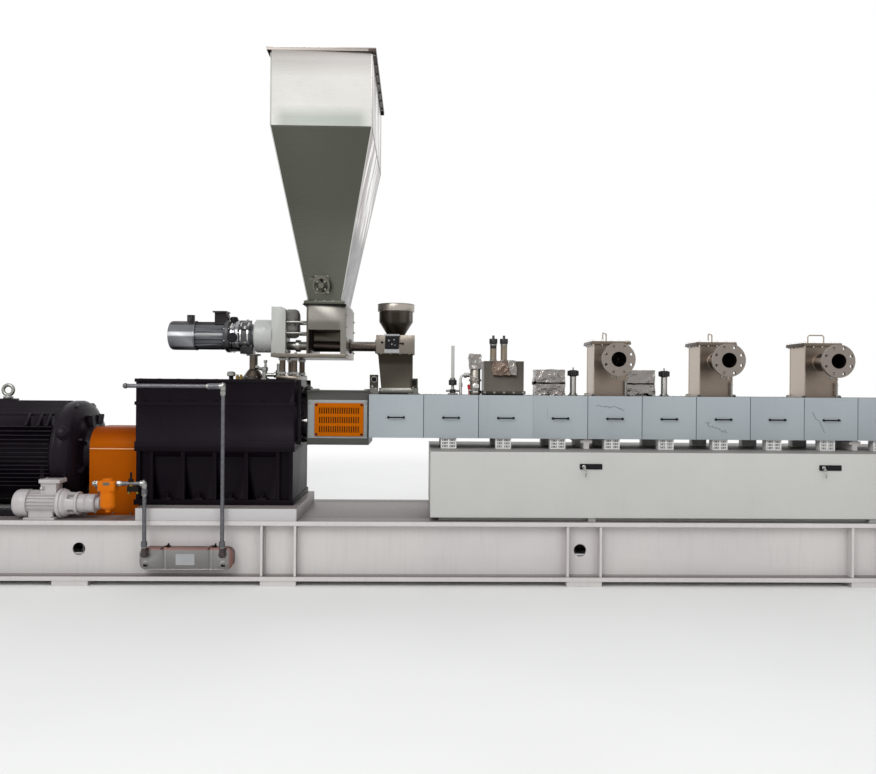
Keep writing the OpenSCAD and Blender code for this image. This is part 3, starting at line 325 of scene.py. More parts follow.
@dataclass(frozen=True)
class BrushedSheet(Finish):
    """Cold-rolled stainless sheet, brushed in one direction with a 240 grit belt.

    It gives long soft streaks across the light, and cloudy reflections where the sheet buckles.
    """

    roughness: float = 0.34
    # Size of one stroke across and along the grain, in millimetres; a real stroke is 0.1 mm wide
    grain_mm: tuple[float, float, float] = (260.0, 260.0, 3.0)
    buckle_mm: float = 420.0
    buckle_depth_mm: float = 6.0
    stain: str = "#75716a"
    stain_share: float = 0.25

    def look(self, net: Net, place: Socket) -> Look:
        """Grain, stains and buckles."""
        grain = net.noise(net.stretched(place, (1000 / mm for mm in self.grain_mm)), 1.0, 5.0, 0.7)
        # Stains are clouds of 110 mm
        spot = net.ramp(net.noise(place, 9.0, 6.0, 0.6), 0.5, 0.8, high=self.stain_share)
        swell = net.bump(net.noise(place, 1000 / self.buckle_mm, 1.0), 0.9, self.buckle_depth_mm / 1000)
        return {"Base Color": net.mix(spot, self.toned(net, grain), linear(self.stain)),
            "Roughness": net.ramp(grain, 0.25, 0.75, self.roughness - 0.08, self.roughness + 0.1),
            "Normal": net.bump(grain, 0.25, 0.0002, swell), "Metallic": 1.0}


@dataclass(frozen=True)
class GroundSteel(BrushedSheet):
    """Thick plate and turned parts, ground or machined and oiled: tight marks and no buckles."""

    grain_mm: tuple[float, float, float] = (60.0, 60.0, 2.0)
    buckle_mm: float = 150.0
    buckle_depth_mm: float = 0.2


@dataclass(frozen=True)
class GalvanisedSteel(Finish):
    """Hot-dip galvanised pipe: dull zinc crystals, each with its own tone of grey."""

    # Width of one zinc crystal
    spangle_mm: float = 11.0

    def look(self, net: Net, place: Socket) -> Look:
        """Crystals of two tones."""
        cells = net.add("TexVoronoi", {"Vector": place, "Scale": 1000 / self.spangle_mm})
        tone = net.add("SeparateColor", {0: cells.outputs["Color"]})
        return {"Base Color": self.toned(net, tone.outputs[0]),
            "Roughness": net.ramp(tone.outputs[1], low=0.36, high=0.56),
            "Normal": net.bump(cells.outputs["Distance"], 0.2, 0.0002), "Metallic": 0.85}


@dataclass(frozen=True)
class MouldedPlastic(Finish):
    """Injection-moulded plastic from a spark-eroded mould: matt, with an even fine grain."""

    roughness: float = 0.45
    mirror: float = 0.2
    grain_mm: float = 1.2

    def look(self, net: Net, place: Socket) -> Look:
        """Tone and grain."""
        tone = net.noise(place, 14.0, 4.0)
        return {"Base Color": self.toned(net, tone),
            "Roughness": net.ramp(tone, low=self.roughness - 0.08, high=self.roughness + 0.08),
            "Normal": net.bump(net.noise(place, 1000 / self.grain_mm, 1.0), 0.4, 0.0001), "IOR": 1.49,
            "Specular IOR Level": self.mirror}


@dataclass(frozen=True)
class CrumpledFoil(Finish):
    """Household aluminium foil pressed round a block by hand.

    Sharp flat facets flash or go dark side by side, with fine creases inside each facet.
    """

    shade: str = "#8b8480"
    # Width of a large facet and of a crease
    facet_mm: float = 34.0
    crease_mm: float = 11.0

    def look(self, net: Net, place: Socket) -> Look:
        """Facets of two tones, and creases."""
        facets = net.add("TexVoronoi", {"Vector": place, "Scale": 1000 / self.facet_mm})
        tone = net.add("SeparateColor", {0: facets.outputs["Color"]})
        crease = net.add("TexVoronoi", {"Vector": place, "Scale": 1000 / self.crease_mm})
        large = net.bump(facets.outputs["Distance"], 1.0, 0.006)
        return {"Base Color": self.toned(net, tone.outputs[0]), "Metallic": 1.0, "Roughness": 0.2,
            "Normal": net.bump(crease.outputs["Distance"], 0.7, 0.003, large)}


@dataclass(frozen=True)
class Graphite(Finish):
    """Soft pencil rubbed on powder coat: a dull grey line that breaks up on the grain."""

    shade: str = "#8f9498"

    def look(self, net: Net, place: Socket) -> Look:
        """A line that is pale where the pencil skipped, every 6 mm or so."""
        return {"Base Color": self.toned(net, net.noise(place, 160.0, 3.0)), "Roughness": 0.7}


@dataclass(frozen=True)
class StudioFloor(Finish):
    """Matt pale floor paint, rolled on: nearly plain, so that only the shadow shows.

    It fades to the white of the room away from the machine, so that no horizon shows.
    """

    shade: str = "#e6e6e4"
    # Distance from the machine at which it starts to fade and is all white, in metres
    fade_start: float = 4.5
    fade_end: float = 11.0

    def look(self, net: Net, place: Socket) -> Look:
        """Two close tones in clouds of 1.7 m."""
        return {"Base Color": self.toned(net, net.noise(place, 0.6, 2.0)), "Roughness": 0.6,
            "Specular IOR Level": 0.0}

    def surface(self, net: Net, place: Socket, shader: bpy.types.Node) -> Socket:
        """The paint near the machine and plain white far away."""
        flat = net.add("VectorMath", {0: place, 1: (0.6, 1.0, 0.0)}, operation="MULTIPLY")
        away = net.add("VectorMath", {0: flat.outputs[0]}, operation="LENGTH")
        fade = net.add("MapRange", {"Value": away.outputs["Value"], "From Min": self.fade_start,
            "From Max": self.fade_end}, interpolation_type="SMOOTHSTEP")
        white = net.add("Emission", {"Color": (1.0, 1.0, 1.0, 1.0), "Strength": 1.0})
        return net.add("MixShader", {0: fade.outputs[0], 1: shader.outputs[0],
            2: white.outputs[0]}).outputs[0]


class Paint(Enum):
    """The finishes of this machine, each by its place."""

    # Painted shade: faces that look up and faces that look right are painted darker than the front faces.
    BASE = SprayedEnamel("#cdc9c6", shade="#c4bfbe", grime="#918885", dust="#8f8884", dust_share=0.3,
        mirror=0.25,
        zones=(Zone("#7f7876", 0.0, facing=UP), Zone("#96908f", 0.0, facing=RIGHT),
            Zone("#bbb8b8", facing=FRONT, x=(-2.1, -0.8), z=(0.4375, 0.557))))
    MOTOR = CastEnamel("#1d171e", shade="#130e15", grime="#2c272e", dust="#2a252c", dust_share=0.35,
        roughness=0.36, mirror=0.10)
    SHIELD = CastEnamel("#1b151c", shade="#120d13", grime="#2c272e", dust="#2a252c", dust_share=0.35,
        roughness=0.32, mirror=0.10)
    # Painted shade: the lower housing is painted darker, and the bays under the upper housing darker still,
    # as the shadow of its overhang.
    GEARBOX = SprayedEnamel("#1b161c", shade="#161117", grime="#262128", dust="#302b30", dust_share=0.5,
        roughness=0.40, tone_mm=400.0, mirror=0.06,
        zones=(Zone("#120d13", z=(1.225, 2.0)), Zone("#100b11", z=(0.5, 0.921)), Zone("#0c080d", 0.0, 0.01,
            y=(-0.340, 0.340), z=(0.80, 0.921))))
    OUTPUT = SprayedEnamel("#1d191f", shade="#151116", grime="#322e34", roughness=0.36, mirror=0.12)
    # Painted shade on the guard's faces that look up, and a painted highlight along the front of the bead at
    # the top bend.
    ORANGE = SprayedEnamel("#a85206", shade="#a04c03", grime="#7d3a02", dust="#9a5417", dust_share=0.2,
        roughness=0.34, mirror=0.02, zones=(Zone("#8a3c02", facing=UP),
            Zone("#d99c70", 0.0, 0.002, x=(-2.36, -2.0), y=(-0.3, -0.262), z=(0.8905, 0.8995))))
    # Painted shade: faces inside the louvre slots that look down, left and right are painted near black.
    LOUVRE = SprayedEnamel("#b35b03", shade="#aa5602", grime="#8c4802", dust_share=0.1, roughness=0.34,
        mirror=0.02,
        zones=(Zone("#2a1c12", facing=DOWN), Zone("#2a1c12", facing=LEFT, x=(-0.75, -0.45)),
            Zone("#2a1c12", facing=RIGHT, x=(-0.765, -0.46))))
    FILTER = SprayedEnamel("#cf6c07", shade="#c56505", grime="#a35205", dust="#b06a24", roughness=0.28,
        mirror=0.1)
    PUMP = CastEnamel("#bab5b5", shade="#aea8a8", grime="#7f7978", dust="#98928f", roughness=0.32,
        peel_depth_mm=0.15)
    PIPE = GalvanisedSteel("#5e5e62", shade="#6e6e72")
    COOLER = BrushedSheet("#918f8d", shade="#7b7977", stain="#6b6967", buckle_depth_mm=1.0,
        zones=(Zone("#8a625c", 0.9, 0.008, z=(0.249, 0.3)), Zone("#7c5852", 0.9, 0.012, x=(-1.306, -1.2)),
            Zone("#6d4a46", 0.9, 0.004, y=(-0.545, 0.0))))
    # Painted shade: the inside of the housing between its plates is painted near black, and the faces that
    # look up darker.
    LANTERN = SprayedEnamel("#4d4c48", shade="#454441", grime="#3e3b37", mirror=0.25,
        zones=(Zone("#989d9e", y=(-0.2415, -0.2385), z=(0.977, 1.248)),
            Zone("#989d9e", y=(0.2385, 0.2415), z=(0.977, 1.248)),
            Zone("#35191a", y=(-0.2352, 0.2352), z=(1.0, 1.22), x=(-0.765, -0.456)),
            Zone("#47453f", facing=UP)))
    # Painted shade: the covers' tops are painted darker than their fronts.
    COVER = SprayedEnamel("#a0a8ab", shade="#999fa5", grime="#83878a", grime_share=0.05, dust="#8f9090",
        dust_share=0.5, roughness=0.46, peel_mm=2.5, mirror=0.3, zones=(Zone("#8d9193", facing=UP),))
    # Painted shade: the cabinet's top is painted darker than its sides.
    TRUNK = SprayedEnamel("#bdbdb8", shade="#b6b5b1", grime="#99958d", grime_share=0.04, dust_share=0.6,
        roughness=0.48, peel_mm=2.5, mirror=0.3, zones=(Zone("#8d8a86", facing=UP),))
    BARREL = GroundSteel("#6f6a63", shade="#57524b", stain="#453f38")
    # Painted shade: the block faces at y of 0.24 either side, round the nipples, are painted grey for the
    # shade in the blocks' openings.
    WHITE = MouldedPlastic("#e6e6e4", shade="#dad9d6", mirror=0.35,
        zones=(Zone("#858283", y=(-0.2415, -0.2385)), Zone("#858283", y=(0.2385, 0.2415))))
    BLACK = MouldedPlastic("#16161a", shade="#121215", mirror=0.15)
    # Painted shade on the top and the underside of the feeder motor, and a painted highlight along its front
    # at the height of the shaft.
    SILVER_MOTOR = CastEnamel("#76777b", shade="#67686c", grime="#4e4f53", dust="#6a6a6c", roughness=0.4,
        peel_depth_mm=0.05, mirror=0.25, zones=(Zone("#332f30", 0.2, 0.004, z=(1.782, 1.90)),
            Zone("#d2d2d4", 0.2, 0.006, z=(1.700, 1.728), y=(-0.2, -0.08)),
            Zone("#2b282b", 0.1, 0.006, z=(1.58, 1.625))))
    DRIVE = CastEnamel("#4a4a4d", shade="#38383b", grime="#26262a", dust="#606062", roughness=0.28,
        mirror=0.4,
        zones=(Zone("#b2b3af", x=(-1.2495, -1.0)), Zone("#97979a", 0.6, x=(-1.404, -1.388)),
            Zone("#97979a", 0.6, x=(-1.382, -1.358)),
            Zone("#1c1a1d", 0.0, 0.006, x=(-1.46, -1.25), z=(1.5, 1.625))))
    FEEDER = SprayedEnamel("#bfc0bc", shade="#b6b7b2", grime="#85867f", dust="#a3a39f", roughness=0.4,
        mirror=0.3,
        zones=(Zone("#7c7a75", 0.0, x=(-1.0165, -0.9)),))
    # Painted shade: faces of the stand that look down are painted near black.
    STAND = BrushedSheet("#807971", shade="#69625a", stain="#453d35", stain_share=0.5, buckle_depth_mm=0.5,
        zones=(Zone("#3f3934", 0.6, 0.004, x=(-1.40, -1.12), z=(1.388, 1.46)),
            Zone("#6a655f", 0.8, x=(-1.35, -1.2), z=(1.46, 1.6)),
            Zone("#5d5349", 0.9, 0.002, z=(1.416, 1.5455)), Zone("#2f2620", 0.8, facing=DOWN)))
    CHAMBER = BrushedSheet("#837f7a", shade="#7f7c75", stain="#625e56", grain_mm=(3.0, 3.0, 240.0),
        buckle_depth_mm=1.0,
        zones=(Zone("#68655f", 0.9, 0.012, x=(-0.8205, -0.5995), z=(1.737, 1.80)),
            # Painted shade: the neck wall below the chamber's floor is painted dark for the shadowed space
            # above the trough.
            Zone("#5f5a50", 0.7, 0.003, x=(-0.8205, -0.5995), z=(1.66, 1.7375)),
            Zone("#4f463f", 0.9, 0.004, x=(-0.8205, -0.5995), z=(1.57, 1.655)),
            Zone("#55504b", 0.9, 0.002, x=(-0.8352, -0.8208))))
    # A painted highlight on the tube's upper faces and painted shade on its lower faces.
    TUBE = GroundSteel("#5d534c", shade="#49403a", stain="#352d28", stain_share=0.6,
        zones=(Zone("#a39c95", 1.0, facing=UP), Zone("#2b2420", 0.8, facing=DOWN)))
    # Painted reflections: pale bands across the upper box, a greenish patch low on its front, the darker
    # taper, and pale and dark streaks on the faces that look right. Painted shade under the rim.
    HOPPER = BrushedSheet("#ecebe7", shade="#dddbd5", stain="#cfcbc5", stain_share=0.25, roughness=0.3,
        buckle_mm=520.0, buckle_depth_mm=9.0,
        zones=(Zone("#cdc9c6", 1.0, 0.05, z=(3.44, 3.7)), Zone("#b9b3af", 1.0, 0.02, z=(3.535, 3.7)),
            Zone("#bcc1ba", 1.0, 0.04, x=(-1.0, -0.42), z=(3.0, 3.165)),
            Zone("#53544c", 1.0, 0.006, z=(1.9, 3.066)), Zone("#5c5d55", 1.0, 0.12, z=(1.9, 2.45)),
            Zone("#a39c9a", 1.0, 0.02, facing=RIGHT, streak="#fbfbfa", streak_mm=(90.0, 90.0, 800.0)),
            Zone("#8e8c8e", 1.0, 0.05, facing=RIGHT, streak="#55504f", streak_mm=(26.0, 26.0, 320.0),
                z=(1.9, 2.45)),
            Zone("#3a2f2a", 0.8, 0.001, facing=DOWN, z=(3.56, 3.6))))
    HOPPER_FLANGE = GroundSteel("#6a6460", shade="#4c4642")
    # Painted shade under the rim's lip, and a darker painted reflection at its right-hand end.
    HOPPER_RIM = GroundSteel("#827b77", shade="#6c6662", zones=(Zone("#3a2f2a", 0.8, facing=DOWN),
        Zone("#40352f", 0.8, x=(-0.40, -0.3))))
    VIBRATOR = SprayedEnamel("#66645a", shade="#5c5a50", grime="#46443c", roughness=0.4, mirror=0.25)
    # A painted reflection: a dark upright stripe down the middle of the feed hopper's body.
    FEED = BrushedSheet("#857e75", shade="#6e675f", stain="#4d463e", stain_share=0.4,
        grain_mm=(4.0, 4.0, 200.0),
        buckle_depth_mm=1.5, zones=(Zone("#57504a", 1.0, 0.002, z=(1.7175, 1.897)),
            Zone("#35302a", 1.0, 0.02, x=(-0.262, -0.180), z=(1.7175, 1.897)),
            Zone("#aba49b", 1.0, 0.001, z=(1.8972, 1.96))))
    CHUTE = BrushedSheet("#47433c", shade="#3b3831", stain="#332f28", stain_share=0.4, buckle_depth_mm=1.5,
        zones=(Zone("#2e2a23", 1.0, 0.012, z=(1.51, 1.60)), Zone("#73726c", 1.0, 0.002, z=(1.288, 1.3355))))
    # Painted light: faces that look left are painted lighter as lit sides. Painted shade on the lower half of
    # each neck, inside each bore, under the rim and on the rim's left edge.
    VENT = GroundSteel("#8c8075", shade="#796d63", stain="#6a5e53", stain_share=0.35, roughness=0.36,
        zones=(Zone("#b5a99e", 1.0, facing=LEFT), Zone("#89817a", 1.0, 0.002, y=(-0.40, -0.3495)),
            Zone("#4a3f36", 0.9, 0.012, y=(-0.349, -0.125), z=(1.48, 1.545), x=(1.2, 3.1)),
            Zone("#1d1718", 0.5, 0.002, x=(1.288, 1.398), y=(-0.368, -0.15), z=(1.493, 1.603)),
            Zone("#1d1718", 0.5, 0.002, x=(2.064, 2.174), y=(-0.368, -0.15), z=(1.493, 1.603)),
            Zone("#1d1718", 0.5, 0.002, x=(2.840, 2.950), y=(-0.368, -0.15), z=(1.493, 1.603)),
            Zone("#241d19", 0.6, facing=DOWN, z=(1.62, 1.7)),
            Zone("#6f6358", 0.9, 0.001, z=(1.6635, 1.70)),
            Zone("#3a2f28", 0.8, 0.001, facing=LEFT, z=(1.6635, 1.70))))
    # Painted shade on the lid's left edge.
    LID = GroundSteel("#bdafa2", shade="#a3968a", stain="#6a5e53", roughness=0.3,
        zones=(Zone("#7b6f64", 0.9, 0.001, facing=FRONT, z=(1.66, 1.688)),
            Zone("#4a3e36", 0.8, 0.001, facing=LEFT, z=(1.66, 1.688))))
    POST = GroundSteel("#cfceca", shade="#b9b8b4", roughness=0.45,
        zones=(Zone("#141216", x=(0.9, 2.0), z=(1.4320, 1.4790)), Zone("#b9b7b3", x=(0.1, 0.3)),
            Zone("#18161a", x=(0.1, 0.3), z=(1.3590, 1.3998)), Zone("#2a2826", x=(0.1, 0.3), z=(1.2, 1.33))))
    PORT = GroundSteel("#54504a", shade="#47433d", stain="#403830", stain_share=0.5, roughness=0.42,
        zones=(Zone("#7f7362", 0.3, x=(0.43, 0.63), y=(-0.1, 0.0), z=(1.537, 1.6663)),
            Zone("#151418", x=(0.43, 0.54), z=(1.6303, 1.8)),
            Zone("#151418", x=(0.54, 0.64), z=(1.6663, 1.8)),
            Zone("#a09a92", 1.0, x=(0.3, 0.41))))
    ZINC = GroundSteel("#a3a39f", shade="#868682", roughness=0.3)
    OXIDE = GroundSteel("#2a282a", shade="#1d1b1d", roughness=0.4)
    BRIGHT = GroundSteel("#cfcecb", shade="#b5b3af", roughness=0.2, stain_share=0.1)
    CHROME = GroundSteel("#e8e7e4", shade="#d5d3cf", roughness=0.12, stain_share=0.1)
    BRASS = GroundSteel("#97803f", shade="#7b6834", roughness=0.28)
    FOIL = CrumpledFoil("#8e8b88")
    # Painted shade and painted reflection: a darker, browner copy of the foil for the shaded part of the side
    # port's foil.
    DARK_FOIL = CrumpledFoil("#8d7b70", shade="#4a3d36")
    GASKET = MouldedPlastic("#1b1816", shade="#131110", roughness=0.6, mirror=0.1)
    JOINT = MouldedPlastic("#5c6062", shade="#525658", roughness=0.6, mirror=0.1)
    ELBOW = MouldedPlastic("#3a302e", shade="#2a2221", roughness=0.3, mirror=0.5)
    LABEL = MouldedPlastic("#a2a3a4", shade="#98999a", roughness=0.35, mirror=0.2)
    PENCIL = Graphite("#33373b")
    RED = MouldedPlastic("#b3262a", shade="#93181d", roughness=0.35)

    @property
    def skin(self) -> bpy.types.Material:
        """The material of this finish, built at its first use."""
        name = "finish_" + self.name.lower()
        return bpy.data.materials.get(name) or self.value.material(name)


# ---------------------------------------------------------------------------------------------
# Mesh work
# ---------------------------------------------------------------------------------------------


def mm(*pairs: tuple[float, float]) -> list[tuple[float, float]]:
    """Turns pairs of millimetres to metres."""
    return [(a / 1000, b / 1000) for a, b in pairs]


def turns(count: int, shift: float = 0.0) -> list[float]:
    """Angles of points spread evenly round a circle, after a shift in steps."""
    return [math.tau * (i + shift) / count for i in range(count)]


def spoke(angle: float) -> Vector:
    """The direction at an angle from Z in the plane across the machine."""
    return Vector((0, math.sin(angle), math.cos(angle)))


def placed(name: str, data: bpy.types.ID) -> bpy.types.Object:
    """Makes an object of its data and links it to the scene."""
    made = bpy.data.objects.new(name, data)
    bpy.context.scene.collection.objects.link(made)
    return made


def facing(way: Vector) -> Matrix:
    """A turn that carries Z to a direction."""
    return Vector((0, 0, 1)).rotation_difference(way.normalized()).to_matrix().to_4x4()


def soft_outline(width: float, height: float, radius: float, steps: int = 6) -> list[tuple[float, float]]:
    """A rectangle with round corners about the origin.

    Args:
        width: size along the first axis.
        height: size along the second axis.
        radius: corner radius.
        steps: sides of a corner.

    Returns:
        Its points, counter-clockwise.
    """
    points = []
    for corner in range(4):
        turn = corner * math.pi / 2
        cx = (width / 2 - radius) * (1 if corner in (0, 3) else -1)
        cy = (height / 2 - radius) * (1 if corner in (0, 1) else -1)
        for i in range(steps + 1):
            angle = turn + i * math.pi / 2 / steps
            points.append((cx + radius * math.cos(angle), cy + radius * math.sin(angle)))
    return points


class Solid:
    """A mesh under construction, in metres in the machine's frame."""

    def __init__(self) -> None:
        """Starts an empty mesh."""
        self.bm = bmesh.new()

    def skin(self, rings: Sequence[list[bmesh.types.BMVert]]) -> Solid:
        """Joins rings of corners by faces and closes both ends."""
        for lower, upper in zip(rings, rings[1:]):
            for i, corner in enumerate(lower):
                j = (i + 1) % len(lower)
                self.bm.faces.new((corner, lower[j], upper[j], upper[i]))
        self.bm.faces.new(rings[0][::-1])
        self.bm.faces.new(rings[-1])
        return self

    def block(self, low: Point, high: Point) -> Solid:
        """Adds a block between two corners."""
        a, b = Vector(low), Vector(high)
        place = Matrix.Translation((a + b) / 2) @ Matrix.Diagonal((*(b - a), 1.0))
        bmesh.ops.create_cube(self.bm, size=1.0, matrix=place)
        return self

    def turned(self, foot: Point, way: Vector, profile: Iterable[tuple[float, float]],
            sides: int = 32) -> Solid:
        """Adds a turned solid.

        Args:
            foot: where its axis starts.
            way: the direction of its axis.
            profile: pairs of distance along the axis and radius.
            sides: corners of each ring.

        Returns:
            This mesh.
        """
        place = Matrix.Translation(Vector(foot)) @ facing(way)
        rings = []
        for along, radius in profile:
            ring = (Vector((radius * math.cos(t), radius * math.sin(t), along)) for t in turns(sides, 0.5))
            rings.append([self.bm.verts.new(place @ point) for point in ring])
        return self.skin(rings)

    def rod(self, start: Point, end: Point, radius: float, sides: int = 24) -> Solid:
        """Adds a round bar with small chamfers between two points."""
        a, b = Vector(start), Vector(end)
        length, lip = (b - a).length, min(radius * 0.12, (b - a).length * 0.2)
        profile = [(0, radius - lip), (lip, radius), (length - lip, radius), (length, radius - lip)]
        return self.turned(a, b - a, profile, sides)

    def tube(self, points: Sequence[Point], radius: float, sides: int = 10, flat: float = 1.0) -> Solid:
        """Adds a bar bent along points.

        Args:
            points: the points of its centre line.
            radius: its radius.
            sides: corners of its section.
            flat: thickness of the section as a share of its width.

        Returns:
            This mesh.
        """
        line = [Vector(p) for p in points]
        rings, side = [], None
        for i, p in enumerate(line):
            way = (line[min(i + 1, len(line) - 1)] - line[max(i - 1, 0)]).normalized()
            side = way.orthogonal() if side is None else side - way * side.dot(way)
            side.normalize()
            other = way.cross(side)
            rings.append([self.bm.verts.new(p + radius * (side * math.cos(t) + other * flat * math.sin(t)))
                for t in turns(sides)])
        return self.skin(rings)

    def slab(self, centre: Point, way: Vector, outline: Sequence[tuple[float, float]], thick: float,
            spin: float = 0.0) -> Solid:
        """Adds a plate of any outline.

        Args:
            centre: middle of its lower face.
            way: direction from its lower to its upper face.
            outline: corners about the centre; for a plate that faces front or rear they are X and Z.
            thick: its thickness.
            spin: turn about its own middle.

        Returns:
            This mesh.
        """
        n = way.normalized()
        up = Vector((0, 0, 1)) if abs(n.z) < 0.9 else Vector((0, 1, 0))
        right = Vector((1, 0, 0)) if abs(n.x) < 0.9 else Vector((0, 1, 0))
        c, s = math.cos(spin), math.sin(spin)
        levels = [[self.bm.verts.new(Vector(centre) + n * t + right * (x * c - y * s) + up * (x * s + y * c))
            for x, y in outline] for t in (0.0, thick)]
        return self.skin(levels)

    def holed(self, centre: Point, way: Vector, outline: Sequence[tuple[float, float]],
            hole: tuple[float, float, float],
            thick: float) -> Solid:
        """Adds a plate with a round hole, from whose middle the whole outline is in sight.

        Args:
            centre: origin of the outline, on the lower face.
            way: direction from its lower to its upper face.
            outline: corners about the centre, in the axes of the turn that carries Z to the direction.
            hole: middle and radius of the hole, in the same axes.
            thick: its thickness.

        Returns:
            This mesh.
        """
        place = Matrix.Translation(Vector(centre)) @ facing(way)
        mid = Vector(hole[:2])
        rings = []
        for level in (0.0, thick):
            rings.append([self.bm.verts.new(place @ Vector((*p, level))) for p in outline])
            toward = [mid + (Vector(p) - mid).normalized() * hole[2] for p in outline]
            rings.append([self.bm.verts.new(place @ Vector((*p, level))) for p in toward])
        low_out, low_in, top_out, top_in = rings
        count = len(outline)
        for a, b in ((low_out, low_in), (low_in, top_in), (top_in, top_out)):
            for i in range(count):
                j = (i + 1) % count
                self.bm.faces.new((a[i], a[j], b[j], b[i]))
        for i in range(count):
            j = (i + 1) % count
            a, b = Vector(outline[i]), Vector(outline[j])
            # A radial edge stays open: it lies between two sectors of a ring, whose edges are welded
            if abs(a.x * b.y - a.y * b.x) > 0.001 * a.length * b.length:
                self.bm.faces.new((top_out[i], top_out[j], low_out[j], low_out[i]))
        return self

    def screw(self, seat: Point, way: Vector, head: float, washer: bool = True) -> None:
        """Adds a hexagon screw head on a washer.

        Args:
            seat: where the washer lies.
            way: the direction in which the head stands out.
            head: head radius over its corners.
            washer: whether a washer lies under it.
        """
        lift = 0.0
        if washer:
            lift = head * 0.18
            self.turned(seat, way, [(0, head * 1.15), (lift * 0.9, head * 1.15), (lift, head * 1.08)], 20)
        top = lift + head * 0.72
        self.turned(seat, way, [(lift * 0.9, head), (top - head * 0.14, head), (top, head * 0.84)], 6)

    def screws(self, x: Iterable[float], y: Iterable[float], z: Iterable[float], way: Vector,
            head: float) -> None:
        """Adds a hexagon screw at every combination of the places along X, Y and Z."""
        for seat in product(x, y, z):
            self.screw(seat, way, head)

    def bolts(self, centre: Point, radius: float, count: int, way: Vector, head: float, shift: float = 0.5,
            washer: bool = True) -> None:
        """Adds a circle of hexagon screws about an axis along X.

        Args:
            centre: middle of the circle, where the washers lie.
            radius: radius of the circle.
            count: number of screws.
            way: the direction in which the heads stand out.
            head: head radius over the corners.
            shift: turn of the circle from Z, in steps.
            washer: whether washers lie under the heads.
        """
        for t in turns(count, shift):
            self.screw(Vector(centre) + radius * spoke(t), way, head, washer)

    def socket(self, seat: Point, way: Vector, head: float) -> Solid:
        """Adds a cylinder head screw with its hexagon socket."""
        # Height and radius as shares of the head's radius
        shares = ((0, 1), (0.88, 1), (1, 0.9), (1, 0.56), (0.5, 0.52))
        return self.turned(seat, way, [(head * high, head * wide) for high, wide in shares], 18)

    def absorb(self, other: Solid) -> Solid:
        """Adds the faces of another mesh, which is used up."""
        mesh = bpy.data.meshes.new("absorbed")
        other.bm.to_mesh(mesh)
        other.bm.free()
        self.bm.from_mesh(mesh)
        bpy.data.meshes.remove(mesh)
        return self

    def piece(self, name: str, paint: Paint, slot: str, bevel: float = 0.0) -> bpy.types.Object:
        """Turns the mesh into a piece of the machine.

        Args:
            name: the piece's name.
            paint: its finish.
            slot: not used.
            bevel: width of its rounded edges, in metres.

        Returns:
            The object, which rides on the machine's body.
        """
        bmesh.ops.recalc_face_normals(self.bm, faces=self.bm.faces)
        for edge in self.bm.edges:
            edge.smooth = len(edge.link_faces) == 2 and edge.calc_face_angle(0.0) < CREASE
        for face in self.bm.faces:
            face.smooth = True
        mesh = bpy.data.meshes.new(name)
        self.bm.to_mesh(mesh)
        self.bm.free()
        made = placed(name, mesh)
        made.data.materials.append(paint.skin)
        if bevel:
            round_edges(made, bevel)
        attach(made, BODY)
        LOG.info("%s: %d faces, %s", name, len(mesh.polygons), paint.name.lower())
        return made


def round_edges(item: bpy.types.Object, width: float) -> None:
    """Rounds the edges of an object so that they catch the light.

    Args:
        item: the object.
        width: width of the rounded edge, in metres.
    """
    made = item.modifiers.new("edges", "BEVEL")
    made.width = width
    made.segments = 2
    made.limit_method = "ANGLE"
    made.angle_limit = CREASE
    made.harden_normals = True
    made.use_clamp_overlap = True


# For each part of the frame its finish and the width of its rounded edges in millimetres; a width of 0 keeps
# the edges sharp
COATS: dict[str, tuple[Paint, float]] = {
    "base_front_beam": (Paint.BASE, 3),
    "base_rear_beam": (Paint.BASE, 3),
    "base_cross_members": (Paint.BASE, 3),
    "base_deck": (Paint.BASE, 2),
    "gearbox_pedestal": (Paint.BASE, 4),
    "motor_frame": (Paint.MOTOR, 1.2),
    "motor_end_shield": (Paint.SHIELD, 3),
    "motor_fan_cowl": (Paint.MOTOR, 1.5),
    "motor_lifting_eye": (Paint.ZINC, 1),
    "coupling_guard": (Paint.ORANGE, 2),
    "gearbox_lower": (Paint.GEARBOX, 3),
    "gearbox_upper": (Paint.GEARBOX, 3),
    "gearbox_output_flange": (Paint.OUTPUT, 3),
    "oil_pump_motor": (Paint.PUMP, 1.2),
    "oil_pump": (Paint.PUMP, 1.5),
    "oil_filter": (Paint.FILTER, 3),
    "oil_pipes": (Paint.PIPE, 0),
    "oil_cooler": (Paint.COOLER, 1.5),
    "lantern_housing": (Paint.LANTERN, 2),
    "lantern_guard": (Paint.LOUVRE, 1),
    "barrel": (Paint.BARREL, 2),
    "discharge_flange": (Paint.BARREL, 1),
    "front_covers": (Paint.COVER, 1.5),
    "rear_covers": (Paint.COVER, 1.5),
    "cover_handles": (Paint.BLACK, 0),
    "barrel_supports": (Paint.BASE, 3),
    "cooling_manifold": (Paint.WHITE, 1),
    "trunk_cabinet": (Paint.TRUNK, 2),
    "trunk_locks": (Paint.BLACK, 1),
    "feeder_motor": (Paint.SILVER_MOTOR, 1.2),
    "feeder_drive": (Paint.DRIVE, 2),
    "feeder_gear_block": (Paint.FEEDER, 3),
    "feeder_stand": (Paint.STAND, 1.5),
    "feeder_chamber": (Paint.CHAMBER, 1),
    "feeder_screw_tube": (Paint.TUBE, 1),
    "feeder_tie_rods": (Paint.ZINC, 1),
    "supply_hopper": (Paint.HOPPER, 1.2),
    "hopper_vibrator": (Paint.VIBRATOR, 3),
    "feed_hopper": (Paint.FEED, 1),
    "feed_chute": (Paint.CHUTE, 1),
    "vent_stacks": (Paint.VENT, 1.5),
    "vent_lids": (Paint.LID, 1.5),
    "clamp_posts": (Paint.POST, 1),
    "side_port": (Paint.PORT, 1.5),
    "port_plugs": (Paint.FOIL, 2),
}


